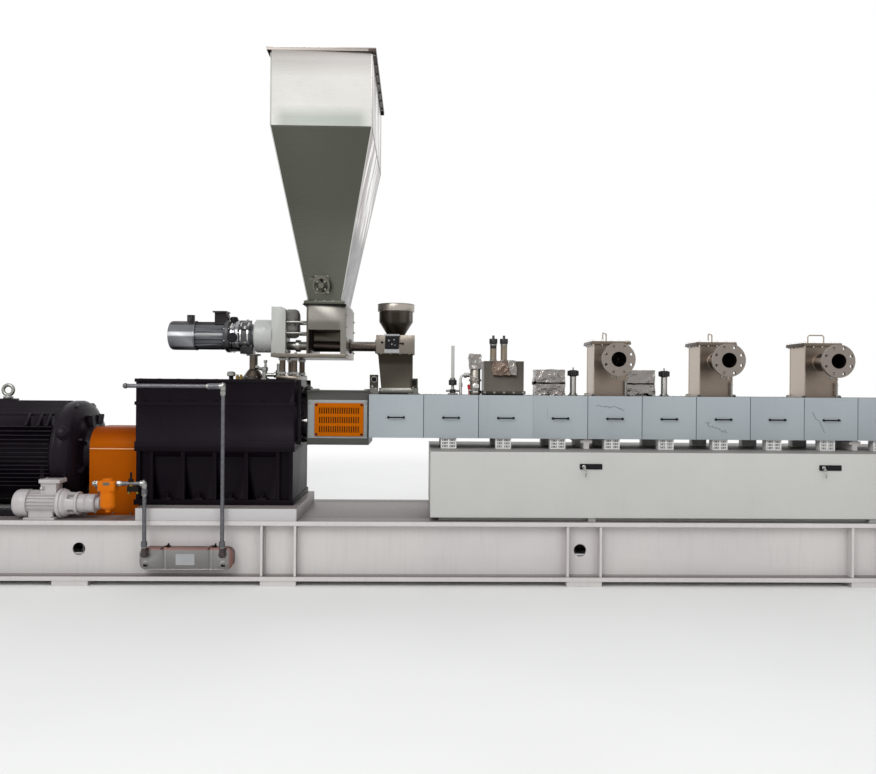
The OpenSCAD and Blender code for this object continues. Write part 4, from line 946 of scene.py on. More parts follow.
def coat_frame(nodes: dict[str, bpy.types.Object]) -> None:
    """Gives each part of the frame its finish and its rounded edges.

    Args:
        nodes: the parts of the frame by name.
    """
    for name, item in nodes.items():
        paint, width = COATS[name]
        item.data.materials.clear()
        item.data.materials.append(paint.skin)
        for face in item.data.polygons:
            face.use_smooth = True
        item.modifiers.new("weld", "WELD").merge_threshold = WELD
        if width:
            round_edges(item, width / 1000)
        else:
            item.modifiers.new("edges", "EDGE_SPLIT").split_angle = CREASE
        LOG.info("%s: coated with %s", name, paint.name.lower())


# ---------------------------------------------------------------------------------------------
# Sub-assemblies
# ---------------------------------------------------------------------------------------------


@dataclass
class SubAssembly:
    """A part of the machine that adds its own small pieces."""

    def build(self) -> None:
        """Builds the pieces."""
        raise NotImplementedError


@dataclass
class WeldedBase(SubAssembly):
    """The front beam, and the weld beads of both side beams."""

    bead: float = 0.007
    # Inner faces of the lower and the upper flange, and their thickness
    low: float = 0.065
    high: float = 0.407
    flange: float = 0.030
    feet: tuple[float, ...] = (-3.810, -2.367, -0.985, 1.078, 3.030, 3.810)
    foot_half: float = 0.120
    plain_foot: float = -2.367
    stiffener: float = 0.016
    half_length: float = 3.950
    web_y: float = 0.465
    web_half: float = 0.007
    flange_half: float = 0.075
    # How far feet and stiffeners stay behind the flange's edges
    inset: float = 0.006
    holes: tuple[float, float] = (-2.332, 1.060)
    hole_r: float = 0.042

    def build(self) -> None:
        """Builds the pieces."""
        self.front_beam()
        self.weld_beads()

    def weld_beads(self) -> None:
        """Beads along the stiffeners and the flanges, outside both webs."""
        work = Solid()
        reach = self.half_length - 0.010
        for side in SIDES:
            y = side * (self.web_y + self.web_half)
            for foot, edge in product(self.feet, SIDES):
                if side > 0 or foot != self.plain_foot:
                    x = foot + edge * (self.foot_half - self.stiffener - self.bead / 2)
                    work.tube([(x, y, self.low), (x, y, self.high)], self.bead, 6)
            y += side * 0.002
            for z in (self.low, self.high):
                work.tube([(-reach, y, z), (reach, y, z)], self.bead, 6)
        work.piece("base_weld_beads", Paint.BASE, "base_paint")

    def front_beam(self) -> None:
        """The front beam; unlike the node's, its second foot carries no stiffeners."""
        work = Solid()
        y, half, reach = -self.web_y, self.flange_half, self.half_length
        for z in (self.low - self.flange, self.high):
            work.block((-reach, y - half, z), (reach, y + half, z + self.flange))
        half, thick = self.flange_half - self.inset, self.stiffener / 2
        for foot in self.feet:
            work.block((foot - self.foot_half, y - half, 0.0),
                (foot + self.foot_half, y + half, self.low - self.flange))
            for edge in SIDES if foot != self.plain_foot else ():
                x = foot + edge * (self.foot_half - thick)
                work.block((x - thick, y - half, self.low), (x + thick, y + half, self.high))
        beam = work.absorb(self.web()).piece("base_front_side_beam", Paint.BASE, "base_paint", 0.0015)
        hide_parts("base_front_beam")

    def web(self) -> Solid:
        """The front web with its cable holes."""
        work = Solid()
        reach, middle, r = self.half_length, (self.low + self.high) / 2, self.hole_r
        rims = [[(-reach, self.low), (reach, self.low), (reach, self.high), (-reach, self.high)]]
        rims += [[(x + r * math.cos(t), middle + r * math.sin(t)) for t in turns(40)] for x in self.holes]
        for rim in rims:
            verts = [work.bm.verts.new((x, -self.web_y - self.web_half, z)) for x, z in rim]
            for pair in zip(verts, verts[1:] + verts[:1]):
                work.bm.edges.new(pair)
        bmesh.ops.triangle_fill(work.bm, use_beauty=True, use_dissolve=False, edges=work.bm.edges[:])
        grown = bmesh.ops.extrude_face_region(work.bm, geom=work.bm.faces[:])["geom"]
        moved = [item for item in grown if isinstance(item, bmesh.types.BMVert)]
        bmesh.ops.translate(work.bm, verts=moved, vec=(0, 2 * self.web_half, 0))
        return work


@dataclass
class MainMotor(SubAssembly):
    """Fasteners, caps and fittings of the main motor."""

    shaft_z: float = 0.845
    frame_x0: float = -3.5383
    shield_x0: float = -2.5533
    foot_y: float = 0.300
    deck_z: float = 0.437
    # Pitch circle of the end shield's screws, and the seat of the cowl's screws round it
    shield_r: float = 0.345
    cowl_r: float = 0.36256

    def build(self) -> None:
        """Builds the pieces."""
        self.screws()
        self.caps()
        self.rear_box()

    def screws(self) -> None:
        """Screws of the end shield, the cowl and the feet."""
        work = Solid()
        work.bolts((self.shield_x0 + 0.078, 0, self.shaft_z), self.shield_r, 8, RIGHT, M16)
        rear = Vector((self.frame_x0 - 0.03, 0, self.shaft_z))
        for way in map(spoke, turns(8, 0.5)):
            work.screw(rear + self.cowl_r * way, way, M10)
        y = self.foot_y + 0.045
        work.screws((self.frame_x0 + 0.16, self.shield_x0 - 0.16), (-y, y), (self.deck_z + 0.036,), UP, M20)
        work.piece("motor_screws", Paint.OXIDE, "steel")

    def caps(self) -> None:
        """Grease valve cap on the flank of the shield, bearing cover and shaft end."""
        cap = Solid()
        profile = mm((0, 46), (12, 46), (16, 40), (30, 36), (36, 26))
        cap.turned((-2.500, -0.352, 1.008), Vector((0.25, -1, 0.35)), profile, 28)
        cap.turned((self.shield_x0 + 0.176, 0, self.shaft_z),
            RIGHT, mm((0, 150), (12, 150), (16, 144)), 40)
        cap.piece("motor_grease_caps", Paint.SHIELD, "motor_paint", 0.001)
        shaft = Solid()
        x, z = self.shield_x0, self.shaft_z
        shaft.rod((x + 0.185, 0, z), (x + 0.2025, 0, z), 0.058)
        shaft.bolts((x + 0.188, 0, z), 0.125, 6, RIGHT, M10, 0.0)
        shaft.piece("motor_shaft_end", Paint.ZINC, "steel")

    def rear_box(self) -> None:
        """Lid screws and cable glands of the terminal box."""
        mid = (self.frame_x0 + self.shield_x0) / 2
        work = Solid()
        across = (mid - 0.155, mid, mid + 0.155)
        work.screws(across, (0.55,), (self.shaft_z - 0.028, self.shaft_z + 0.198), REAR, M8)
        work.piece("motor_box_screws", Paint.ZINC, "steel")
        glands = Solid()
        for dx in (-0.08, 0.08):
            foot = (mid + dx, 0.46, self.shaft_z - 0.04)
            glands.turned(foot, DOWN, mm((0, 34), (18, 34), (20, 30)), 6)
            glands.turned(foot, DOWN, mm((20, 28), (40, 28), (46, 20), (48, 13)), 24)
        glands.piece("motor_cable_glands", Paint.BRASS, "steel")


@dataclass
class CouplingGuard(SubAssembly):
    """Screws of the coupling guard's foot strips, its edge seam and a bare plate."""

    x0: float = -2.350
    x1: float = -2.0056
    half: float = 0.262
    deck_z: float = 0.437
    # Radius and height of the top bends, and half of the flat top between them
    bend_r: float = 0.1462
    bend_z: float = 0.897
    flat_half: float = 0.1175

    def build(self) -> None:
        """Builds the pieces."""
        work = Solid()
        along, y = (self.x0 + 0.05, (self.x0 + self.x1) / 2, self.x1 - 0.05), self.half + 0.02
        work.screws(along, (-y, y), (self.deck_z + 0.008,), UP, M10)
        work.piece("guard_screws", Paint.ZINC, "steel")
        tag = Solid()
        tag.slab((self.x1 - 0.0115, -self.half, 0.8285), FRONT, soft_outline(0.014, 0.057, 0.002), 0.0012)
        tag.piece("guard_bare_plate", Paint.LABEL, "steel")
        seam = Solid()
        x, side, r = self.x1 - 0.02, self.half + 0.0012, self.bend_r
        path = [(x, -side, 0.46)]
        for angle in (math.pi * i / 24 for i in range(25)):
            y = math.copysign(self.flat_half, angle - math.pi / 2) - r * math.cos(angle)
            path.append((x, y, self.bend_z + r * math.sin(angle)))
        path.append((x, side, 0.46))
        seam.tube(path, 0.0025, 6)
        seam.piece("guard_seam", Paint.ORANGE, "safety_orange")


@dataclass
class GearUnit(SubAssembly):
    """Screws, breather and sight glass of the gearbox."""

    x0: float = -2.005
    x1: float = -0.905
    half: float = 0.360
    split_z: float = 0.922
    step_z: float = 1.218
    top_z: float = 1.388
    foot_z: float = 0.556

    def build(self) -> None:
        """Builds the pieces."""
        work = Solid()
        for y in (0.004 - self.half, self.half - 0.004):
            for i in range(7):
                x = self.x0 + 0.06 + i * (self.x1 - self.x0 - 0.12) / 6
                work.screw((x, y, self.step_z + 0.024), UP, M12, washer=False)
            for i in range(4):
                x = self.x0 + 0.113 + (i + 0.5) * 0.2175
                work.turned((x, y, self.foot_z + 0.03), UP, mm((0, 19), (14, 19), (17, 15)), 6)
        work.piece("gearbox_joint_screws", Paint.GEARBOX, "gearbox_paint")
        lid = Solid()
        spots = [(x, -0.33 + 0.11 * i) for x in (self.x0 + 0.03, self.x1 - 0.03) for i in range(7)]
        spots += [(self.x0 + 0.03 + i * 0.13, y) for i in range(1, 9) for y in (-0.335, 0.335)]
        for spot in spots:
            lid.turned((*spot, self.top_z), UP, mm((0, 11), (1, 11), (1.3, 10)), 12)
        lid.piece("gearbox_lid_plugs", Paint.GEARBOX, "gearbox_paint")
        cap = Solid()
        cap.turned((self.x0 + 0.622, -self.half + 0.16, self.top_z + 0.022), UP,
            mm((0, 24), (4, 30), (24, 30), (30, 24), (34, 12)), 24)
        cap.piece("gearbox_breather", Paint.ZINC, "steel")
        self.sight_glass()
        self.output_screws()

    def sight_glass(self) -> None:
        """Oil sight glass and drain plug on the rear side."""
        rim = Solid()
        rim.turned((self.x0 + 0.55, self.half - 0.034, 0.70), REAR,
            mm((0, 42), (12, 42), (16, 36), (16, 26), (10, 24)), 28)
        rim.screw((self.x0 + 0.55, self.half - 0.034, 0.62), REAR, M20)
        rim.piece("gearbox_sight_rim", Paint.BRASS, "steel")

    def output_screws(self) -> None:
        """Screws of the output flange and the bright clamping nut before the lantern."""
        work = Solid()
        up = [self.split_z + 0.06 + i * 0.087 for i in range(5)]
        work.screws((-0.879,), (-0.225, 0.225), up, RIGHT, M16)
        work.piece("output_flange_screws", Paint.OXIDE, "steel")
        pin = Solid()
        pin.turned((-0.876, -0.192, 1.098), RIGHT,
            mm((0, 20), (6, 20), (8, 14), (22, 14), (24, 19), (34, 19), (36, 15)), 24)
        pin.piece("output_clamp_pin", Paint.BRIGHT, "steel")


@dataclass
class OilSet(SubAssembly):
    """Unions, sensor, screws and cooler fittings of the oil system."""

    pipe_y: float = -0.582
    left_x: float = -1.860
    right_x: float = -1.347
    low_z: float = 0.690
    top_z: float = 1.337
    port_z: float = 0.222
    pump_y: float = -0.446
    pump_z: float = 0.540
    pump_x0: float = -2.765
    filter_x: float = -2.099
    cooler_x: tuple[float, float] = (-1.898, -1.282)
    cooler_z: tuple[float, float] = (0.115, 0.261)
    cooler_front: float = -0.557

    def build(self) -> None:
        """Builds the pieces."""
        self.unions()
        self.elbows()
        self.sensor()
        self.pump_screws()
        self.filter_trim()
        self.cooler_trim()

    def unions(self) -> None:
        """Bright hexagon unions on the pipes, each between two collars."""
        work = Solid()
        spots = [(self.left_x, self.port_z + 0.048, UP), (self.right_x, self.port_z + 0.048, UP),
            (self.left_x, self.low_z - 0.078, UP), (self.left_x, self.low_z - 0.036, UP),
            (self.right_x, self.top_z - 0.058, UP), (self.right_x - 0.104, self.top_z, RIGHT),
            (self.right_x - 0.060, self.top_z, RIGHT), (self.filter_x + 0.058, self.low_z, RIGHT),
            (self.filter_x - 0.092, self.low_z, RIGHT)]
        for x, z, way in spots:
            foot = (x, self.pipe_y, z)
            work.turned(foot, way, mm((0, 16.5), (3, 19.5), (26, 19.5), (29, 16.5)), 6)
            work.turned(foot, way, mm((-6, 15.5), (36, 15.5)), 20)
        work.piece("pipe_unions", Paint.ZINC, "galvanised", 0.0008)

    def elbows(self) -> None:
        """Cast elbows with collars, black at the cooler's upper ports and bright on the pipes."""
        bright = Solid()
        collar = mm((0, 20), (18, 21), (26, 21), (28, 18.5))
        for x, z in ((self.left_x, self.low_z), (self.right_x, self.top_z)):
            for way in (LEFT, DOWN):
                bright.turned((x, self.pipe_y, z), way, collar, 20)
            bright.turned((x - 0.004, self.pipe_y, z + 0.004), Vector((1, 0, 1)),
                mm((0, 19.5), (16, 17), (20, 10)), 20)
        bright.piece("pipe_elbows", Paint.ZINC, "galvanised", 0.0008)
        black = Solid()
        for x in (self.left_x, self.right_x):
            black.turned((x, self.cooler_front + 0.001, self.port_z), FRONT,
                mm((0, 23), (12, 24), (34, 23), (42, 18), (45, 10)), 28)
            black.turned((x, self.pipe_y, self.port_z + 0.008), UP, mm((0, 18), (20, 19), (34, 18)), 24)
        black.piece("cooler_elbows", Paint.ELBOW, "black_plastic", 0.001)

    def sensor(self) -> None:
        """Pressure switch below the low pipe, with its stem above."""
        x, y, z = -1.929, self.pipe_y, self.low_z
        body = Solid()
        body.block((x - 0.040, y - 0.020, z - 0.052), (x + 0.036, y + 0.020, z - 0.018))
        body.turned((x - 0.020, y, z + 0.012), UP,
            mm((0, 17), (18, 17), (20, 7), (60, 7), (63, 5)), 16)
        body.piece("oil_pressure_switch", Paint.GASKET, "black_plastic", 0.002)
        brass = Solid()
        for dx in (-0.030, 0.026):
            brass.turned((x + dx, y - 0.006, z - 0.060), DOWN, mm((-10, 10), (6, 10), (8, 7)), 6)
        brass.turned((x - 0.020, y, z - 0.022), UP, mm((0, 14), (36, 14)), 6)
        brass.piece("oil_switch_fittings", Paint.BRASS, "steel")

    def pump_screws(self) -> None:
        """Screws of the pump motor's flange, foot, terminal box and of the pump."""
        work = Solid()
        flange = self.pump_x0 + 0.318
        work.bolts((flange, self.pump_y, self.pump_z), 0.084, 4, RIGHT, M8)
        work.bolts((flange + 0.11, self.pump_y, self.pump_z), 0.069, 4, RIGHT, M6, washer=False)
        x, y, z = self.pump_x0, self.pump_y, self.pump_z
        work.screws((x + 0.100, x + 0.272), (y - 0.07, y + 0.07), (0.451,), UP, M8)
        work.screws((x + 0.186, x + 0.304), (y - 0.05, y + 0.05), (z + 0.164,), UP, M6)
        work.piece("pump_screws", Paint.ZINC, "steel")
        eye = Solid()
        eye.turned((-2.226, self.pump_y, self.pump_z), RIGHT,
            mm((0, 30), (4, 34), (22, 34), (26, 30)), 6)
        eye.turned((self.pump_x0 + 0.2, self.pump_y - 0.05, self.pump_z + 0.108), FRONT,
            mm((0, 14), (8, 14), (10, 11), (24, 10)), 6)
        eye.piece("pump_end_fitting", Paint.BRIGHT, "galvanised", 0.001)
        ring = Solid()
        ring.turned((self.pump_x0 + 0.089, self.pump_y, self.pump_z), RIGHT,
            mm((0, 92.5), (2, 93.8), (8, 93.8), (10, 92.5)), 48)
        ring.turned((-2.287, self.pump_y, self.pump_z), RIGHT,
            mm((0, 62.2), (2, 63.8), (8, 63.8), (10, 62.2)), 40)
        ring.piece("pump_rings", Paint.PUMP, "pump_paint")

    def filter_trim(self) -> None:
        """Bare plate on the filter head, bowl ring and drain plug."""
        plate = Solid()
        plate.slab((self.filter_x + 0.004, self.pipe_y - 0.046, self.low_z + 0.002), FRONT,
            soft_outline(0.042, 0.020, 0.004), 0.0012)
        plate.piece("filter_bare_plate", Paint.VIBRATOR, "steel")
        ring = Solid()
        ring.turned((self.filter_x, self.pipe_y, self.low_z - 0.058), UP,
            mm((0, 50.2), (2, 52.5), (10, 52.5), (12, 50.5)), 36)
        ring.turned((self.filter_x, self.pipe_y, self.low_z - 0.190), UP, mm((0, 10), (6, 14), (10, 14)), 6)
        ring.piece("filter_bowl_ring", Paint.FILTER, "safety_orange")

    def cooler_trim(self) -> None:
        """Bare label, strap clips, blank port plugs and the bright lower lip of the cooler."""
        label = Solid()
        label.slab((-1.597, self.cooler_front, 0.183), FRONT, soft_outline(0.124, 0.074, 0.004), 0.0008)
        label.piece("cooler_bare_label", Paint.LABEL, "white_plastic")
        lip = Solid()
        (x0, x1), (z0, z1), y = self.cooler_x, self.cooler_z, self.cooler_front
        lip.tube([(x0 + 0.05, y - 0.002, z0 + 0.004), (x1 - 0.05, y - 0.002, z0 + 0.004)], 0.003, 8)
        for x in (self.left_x, self.right_x):
            lip.turned((x, y, z0 + 0.032), FRONT, mm((0, 26), (4, 26), (6, 22)), 28)
            lip.turned((x, y - 0.016, z0 + 0.032), FRONT,
                mm((0, 16), (2, 16.5), (2, 9), (-6, 8)), 24)
        lip.piece("cooler_lip", Paint.COOLER, "stainless")
        clips = Solid()
        for x in (-1.724, -1.412):
            clips.tube([(x - 0.034, y - 0.004, z1 - 0.008), (x - 0.012, y, z1 + 0.004),
                (x + 0.006, y + 0.010, z1 + 0.012), (x + 0.016, y + 0.020, z1 + 0.016)], 0.0042, 8)
            clips.turned((x + 0.012, y + 0.020, z1 + 0.003), UP, mm((0, 11), (8, 11), (9, 6), (24, 6)), 6)
        clips.piece("cooler_strap_clips", Paint.OXIDE, "steel")
        ports = Solid()
        for x in (self.left_x + 0.012, self.right_x + 0.012):
            ports.turned((x, y - 0.018, z0 + 0.030), FRONT, mm((0, 7.5), (1.2, 7)), 16)
        ports.piece("cooler_blank_plugs", Paint.GASKET, "black_plastic")


@dataclass
class Lantern(SubAssembly):
    """Screws of the louvred plates and the bolts of the lantern's end flanges."""

    x: tuple[float, float] = (-0.785, -0.440)
    z: tuple[float, float] = (0.991, 1.226)
    face_y: float = 0.249

    def build(self) -> None:
        """Builds the pieces."""
        corner, plate = Solid(), Solid()
        for side in (FRONT, REAR):
            y = side.y * self.face_y
            corner.screws((self.x[0] + 0.013, self.x[1] - 0.013), (y,),
                (self.z[0] + 0.013, self.z[1] - 0.013), side, M8)
            for x, z in product((-0.822, -0.424), (0.998, 1.228)):
                plate.socket((x, side.y * 0.241, z), side, 0.006)
        corner.piece("louvre_screws", Paint.OXIDE, "steel")
        plate.screws((-0.815, -0.43), (-0.2, -0.1, 0.0, 0.1, 0.2), (1.3165,), UP, M12)
        plate.piece("lantern_screws", Paint.ZINC, "steel")


@dataclass
class ModuleLine(SubAssembly):
    """Pieces that repeat with the modules of the barrel, which count from the gearbox."""

    x0: float = -0.403
    pitch: float = 0.388
    count: int = 11

    def mid(self, k: int) -> float:
        """Middle of a module along the machine."""
        return self.x0 + (k - 0.5) * self.pitch


@dataclass
class BarrelLine(ModuleLine):
    """Heater shells, flange screws and cover trim along the barrel."""

    axis_z: float = 1.137
    # Modules with an opening, and those whose shell shows only its end
    ported: tuple[int, ...] = (1, 3, 5, 7, 9)
    cropped: tuple[int, ...] = (2, 4, 6)
    # The joint whose covers butt tightly, counted from the gearbox
    tight_joint: int = 3
    # Turning points of the pencil strokes on the front covers, X and Z
    strokes: tuple[tuple[tuple[float, float], ...], ...] = (
        ((1.207, 1.219), (1.242, 1.219), (1.271, 1.205), (1.292, 1.213), (1.307, 1.196), (1.321, 1.217),
            (1.350, 1.203), (1.371, 1.196), (1.390, 1.192), (1.407, 1.182)),
        ((1.987, 1.097), (2.016, 1.104), (2.009, 1.083), (2.037, 1.083), (2.059, 1.076), (2.080, 1.072),
            (2.102, 1.062), (2.112, 1.041), (2.138, 1.048), (2.153, 1.024)),
        ((2.763, 1.181), (2.771, 1.166), (2.785, 1.145), (2.800, 1.124), (2.814, 1.102), (2.829, 1.081),
            (2.844, 1.060), (2.851, 1.038)))

    def build(self) -> None:
        """Builds the pieces."""
        self.heaters()
        self.flange_screws()
        self.cover_trim()
        self.pencil_marks()

    def heaters(self) -> None:
        """Cast heater shells on the plain modules, with their terminal caps."""
        shells, caps = Solid(), Solid()
        for k in range(1, self.count + 1):
            if k in self.ported:
                continue
            x, end = self.mid(k), -0.125 if k in self.cropped else 0.145
            shells.block((x - 0.145, -0.118, 1.2555), (x + end, 0.118, 1.276))
            if k in self.cropped:
                continue
            for y in (-0.085, 0.0, 0.085):
                shells.block((x - 0.13, y - 0.012, 1.276), (x + 0.13, y + 0.012, 1.283))
            for dx, y in product((-0.1, 0.1), (0.045, -0.045)):
                caps.socket((x + dx, y, 1.276), UP, 0.009)
        shells.piece("barrel_heater_shells", Paint.ZINC, "steel", 0.002)
        caps.piece("barrel_heater_screws", Paint.OXIDE, "steel")

    def flange_screws(self) -> None:
        """Nuts on both sides of each barrel joint, seen from above and below."""
        work = Solid()
        for k in range(1, self.count):
            x = self.x0 + k * self.pitch
            for way in (LEFT, RIGHT):
                work.screws((x + way.x * 0.04,), (-0.145, 0.145), (1.02, 1.10, 1.18, 1.262), way, M16)
        work.piece("barrel_joint_nuts", Paint.OXIDE, "steel")
        end = Solid()
        for t in turns(4):
            end.socket(Vector((3.907, 0, self.axis_z)) + 0.147 * spoke(t), RIGHT, 0.007)
        end.piece("discharge_screws", Paint.OXIDE, "steel")

    def cover_trim(self) -> None:
        """Screws on the cover tops, strips in the joints between covers and the feet of the handles."""
        work = Solid()
        for k in range(1, self.count + 1):
            for side, dx in product(SIDES, (-0.165, 0.165)):
                work.turned((self.mid(k) + dx, side * 0.155, 1.2895), UP, mm((0, 8), (1.6, 7)), 12)
        work.piece("cover_screws", Paint.ZINC, "steel")
        strips, painted = Solid(), Solid()
        for k in range(1, self.count):
            x = self.x0 + k * self.pitch
            for y in (-0.2675, 0.2595):
                low, high = (x - 0.0024, y, 0.985), (x + 0.0024, y + 0.008, 1.2885)
                (painted if k == self.tight_joint else strips).block(low, high)
        strips.piece("cover_joint_strips", Paint.JOINT, "black_plastic")
        painted.piece("cover_tight_joint", Paint.COVER, "cover_paint")
        feet = Solid()
        for k in range(1, self.count + 1):
            for side, dx in product((FRONT, REAR), (-0.054, 0.054)):
                feet.turned((self.mid(k) + dx, side.y * 0.270, 1.129), side,
                    mm((0, 7.5), (1.2, 7.5), (2.5, 6.5)), 20)
        feet.piece("handle_rosettes", Paint.BLACK, "black_plastic")

    def pencil_marks(self) -> None:
        """Pencil strokes left on three covers during assembly."""
        work = Solid()
        for stroke in self.strokes:
            path = []
            for (x0, z0), (x1, z1) in zip(stroke, stroke[1:]):
                for t in (0.0, 0.2, 0.4, 0.6, 0.8):
                    path.append((x0 + (x1 - x0) * t + 0.005 * math.sin(41 * t + 90 * x0), -0.2700,
                        z0 + (z1 - z0) * t + 0.009 * math.sin(29 * t + 70 * z0)))
            work.tube(path, 0.0018, 6)
        for x, z, drop in ((0.86, 1.20, 0.05), (0.865, 1.15, 0.03), (1.262, 1.19, 0.004)):
            work.tube([(x, -0.27, z), (x + 0.002, -0.27, z - drop)], 0.0009, 6)
        work.piece("cover_pencil_marks", Paint.PENCIL, "cover_paint")


@dataclass
class Cabinet(SubAssembly):
    """Key cylinders, keys and door seams of the trunk cabinet."""

    lock_x: tuple[float, ...] = (1.121, 2.763)
    lock_z: float = 0.813
    half: float = 0.520
    x: tuple[float, float] = (0.033, 3.900)
    z: tuple[float, float] = (0.463, 0.910)

    def build(self) -> None:
        """Builds the pieces."""
        cylinders, keys, seams = Solid(), Solid(), Solid()
        for x in self.lock_x:
            for side in (FRONT, REAR):
                foot = (x - 0.050, side.y * (self.half + 0.011), self.lock_z)
                cylinders.turned(foot, side, mm((0, 11.5), (3, 11.5), (4, 10), (4, 7), (3, 6.5)), 24)
            key = Vector((x - 0.050, -self.half - 0.013, self.lock_z))
            keys.block(key + Vector((-0.0012, -0.010, -0.004)), key + Vector((0.0012, 0.002, 0.004)))
            keys.slab(key + Vector((0.002, -0.012, -0.012)), FRONT,
                soft_outline(0.018, 0.022, 0.006), 0.002, 0.3)
            loop = [(key.x + 0.004 + 0.010 * math.sin(t), key.y - 0.012, key.z - 0.032 - 0.012 * math.cos(t))
                for t in (*turns(16), math.tau)]
            keys.tube(loop, 0.0010, 6)
            keys.slab((key.x + 0.010, key.y - 0.0125, key.z - 0.056), FRONT,
                soft_outline(0.010, 0.028, 0.004), 0.0018, -0.25)
        cylinders.piece("lock_cylinders", Paint.BRIGHT, "steel")
        keys.piece("lock_keys", Paint.ZINC, "steel")
        for y in (-0.3585, 0.3585):
            seams.block((self.x[0] - 0.0006, y - 0.0015, 0.50), (self.x[0] + 0.0006, y + 0.0015, 0.87))
        seams.piece("cabinet_door_gaps", Paint.GASKET, "trunk_paint")


@dataclass
class Manifold(ModuleLine):
    """Hose nipples of the cooling blocks, and their screws."""

    def build(self) -> None:
        """Builds the pieces."""
        nipples, feet = Solid(), Solid()
        for k in range(2, self.count + 1):
            x = self.mid(k) - 0.015
            for side in (FRONT, REAR):
                for dx, z in product((-0.036, -0.016, 0.016, 0.036), (0.926, 0.948, 0.970)):
                    nipples.turned((x + dx, side.y * 0.240, z), side, mm((0, 4.2), (5, 4.2), (6, 3)), 10)
                feet.screw((x - 0.049, side.y * 0.215, 0.918), LEFT, M6, washer=False)
        nipples.piece("manifold_nipples", Paint.WHITE, "white_plastic")
        feet.piece("manifold_screws", Paint.ZINC, "steel")


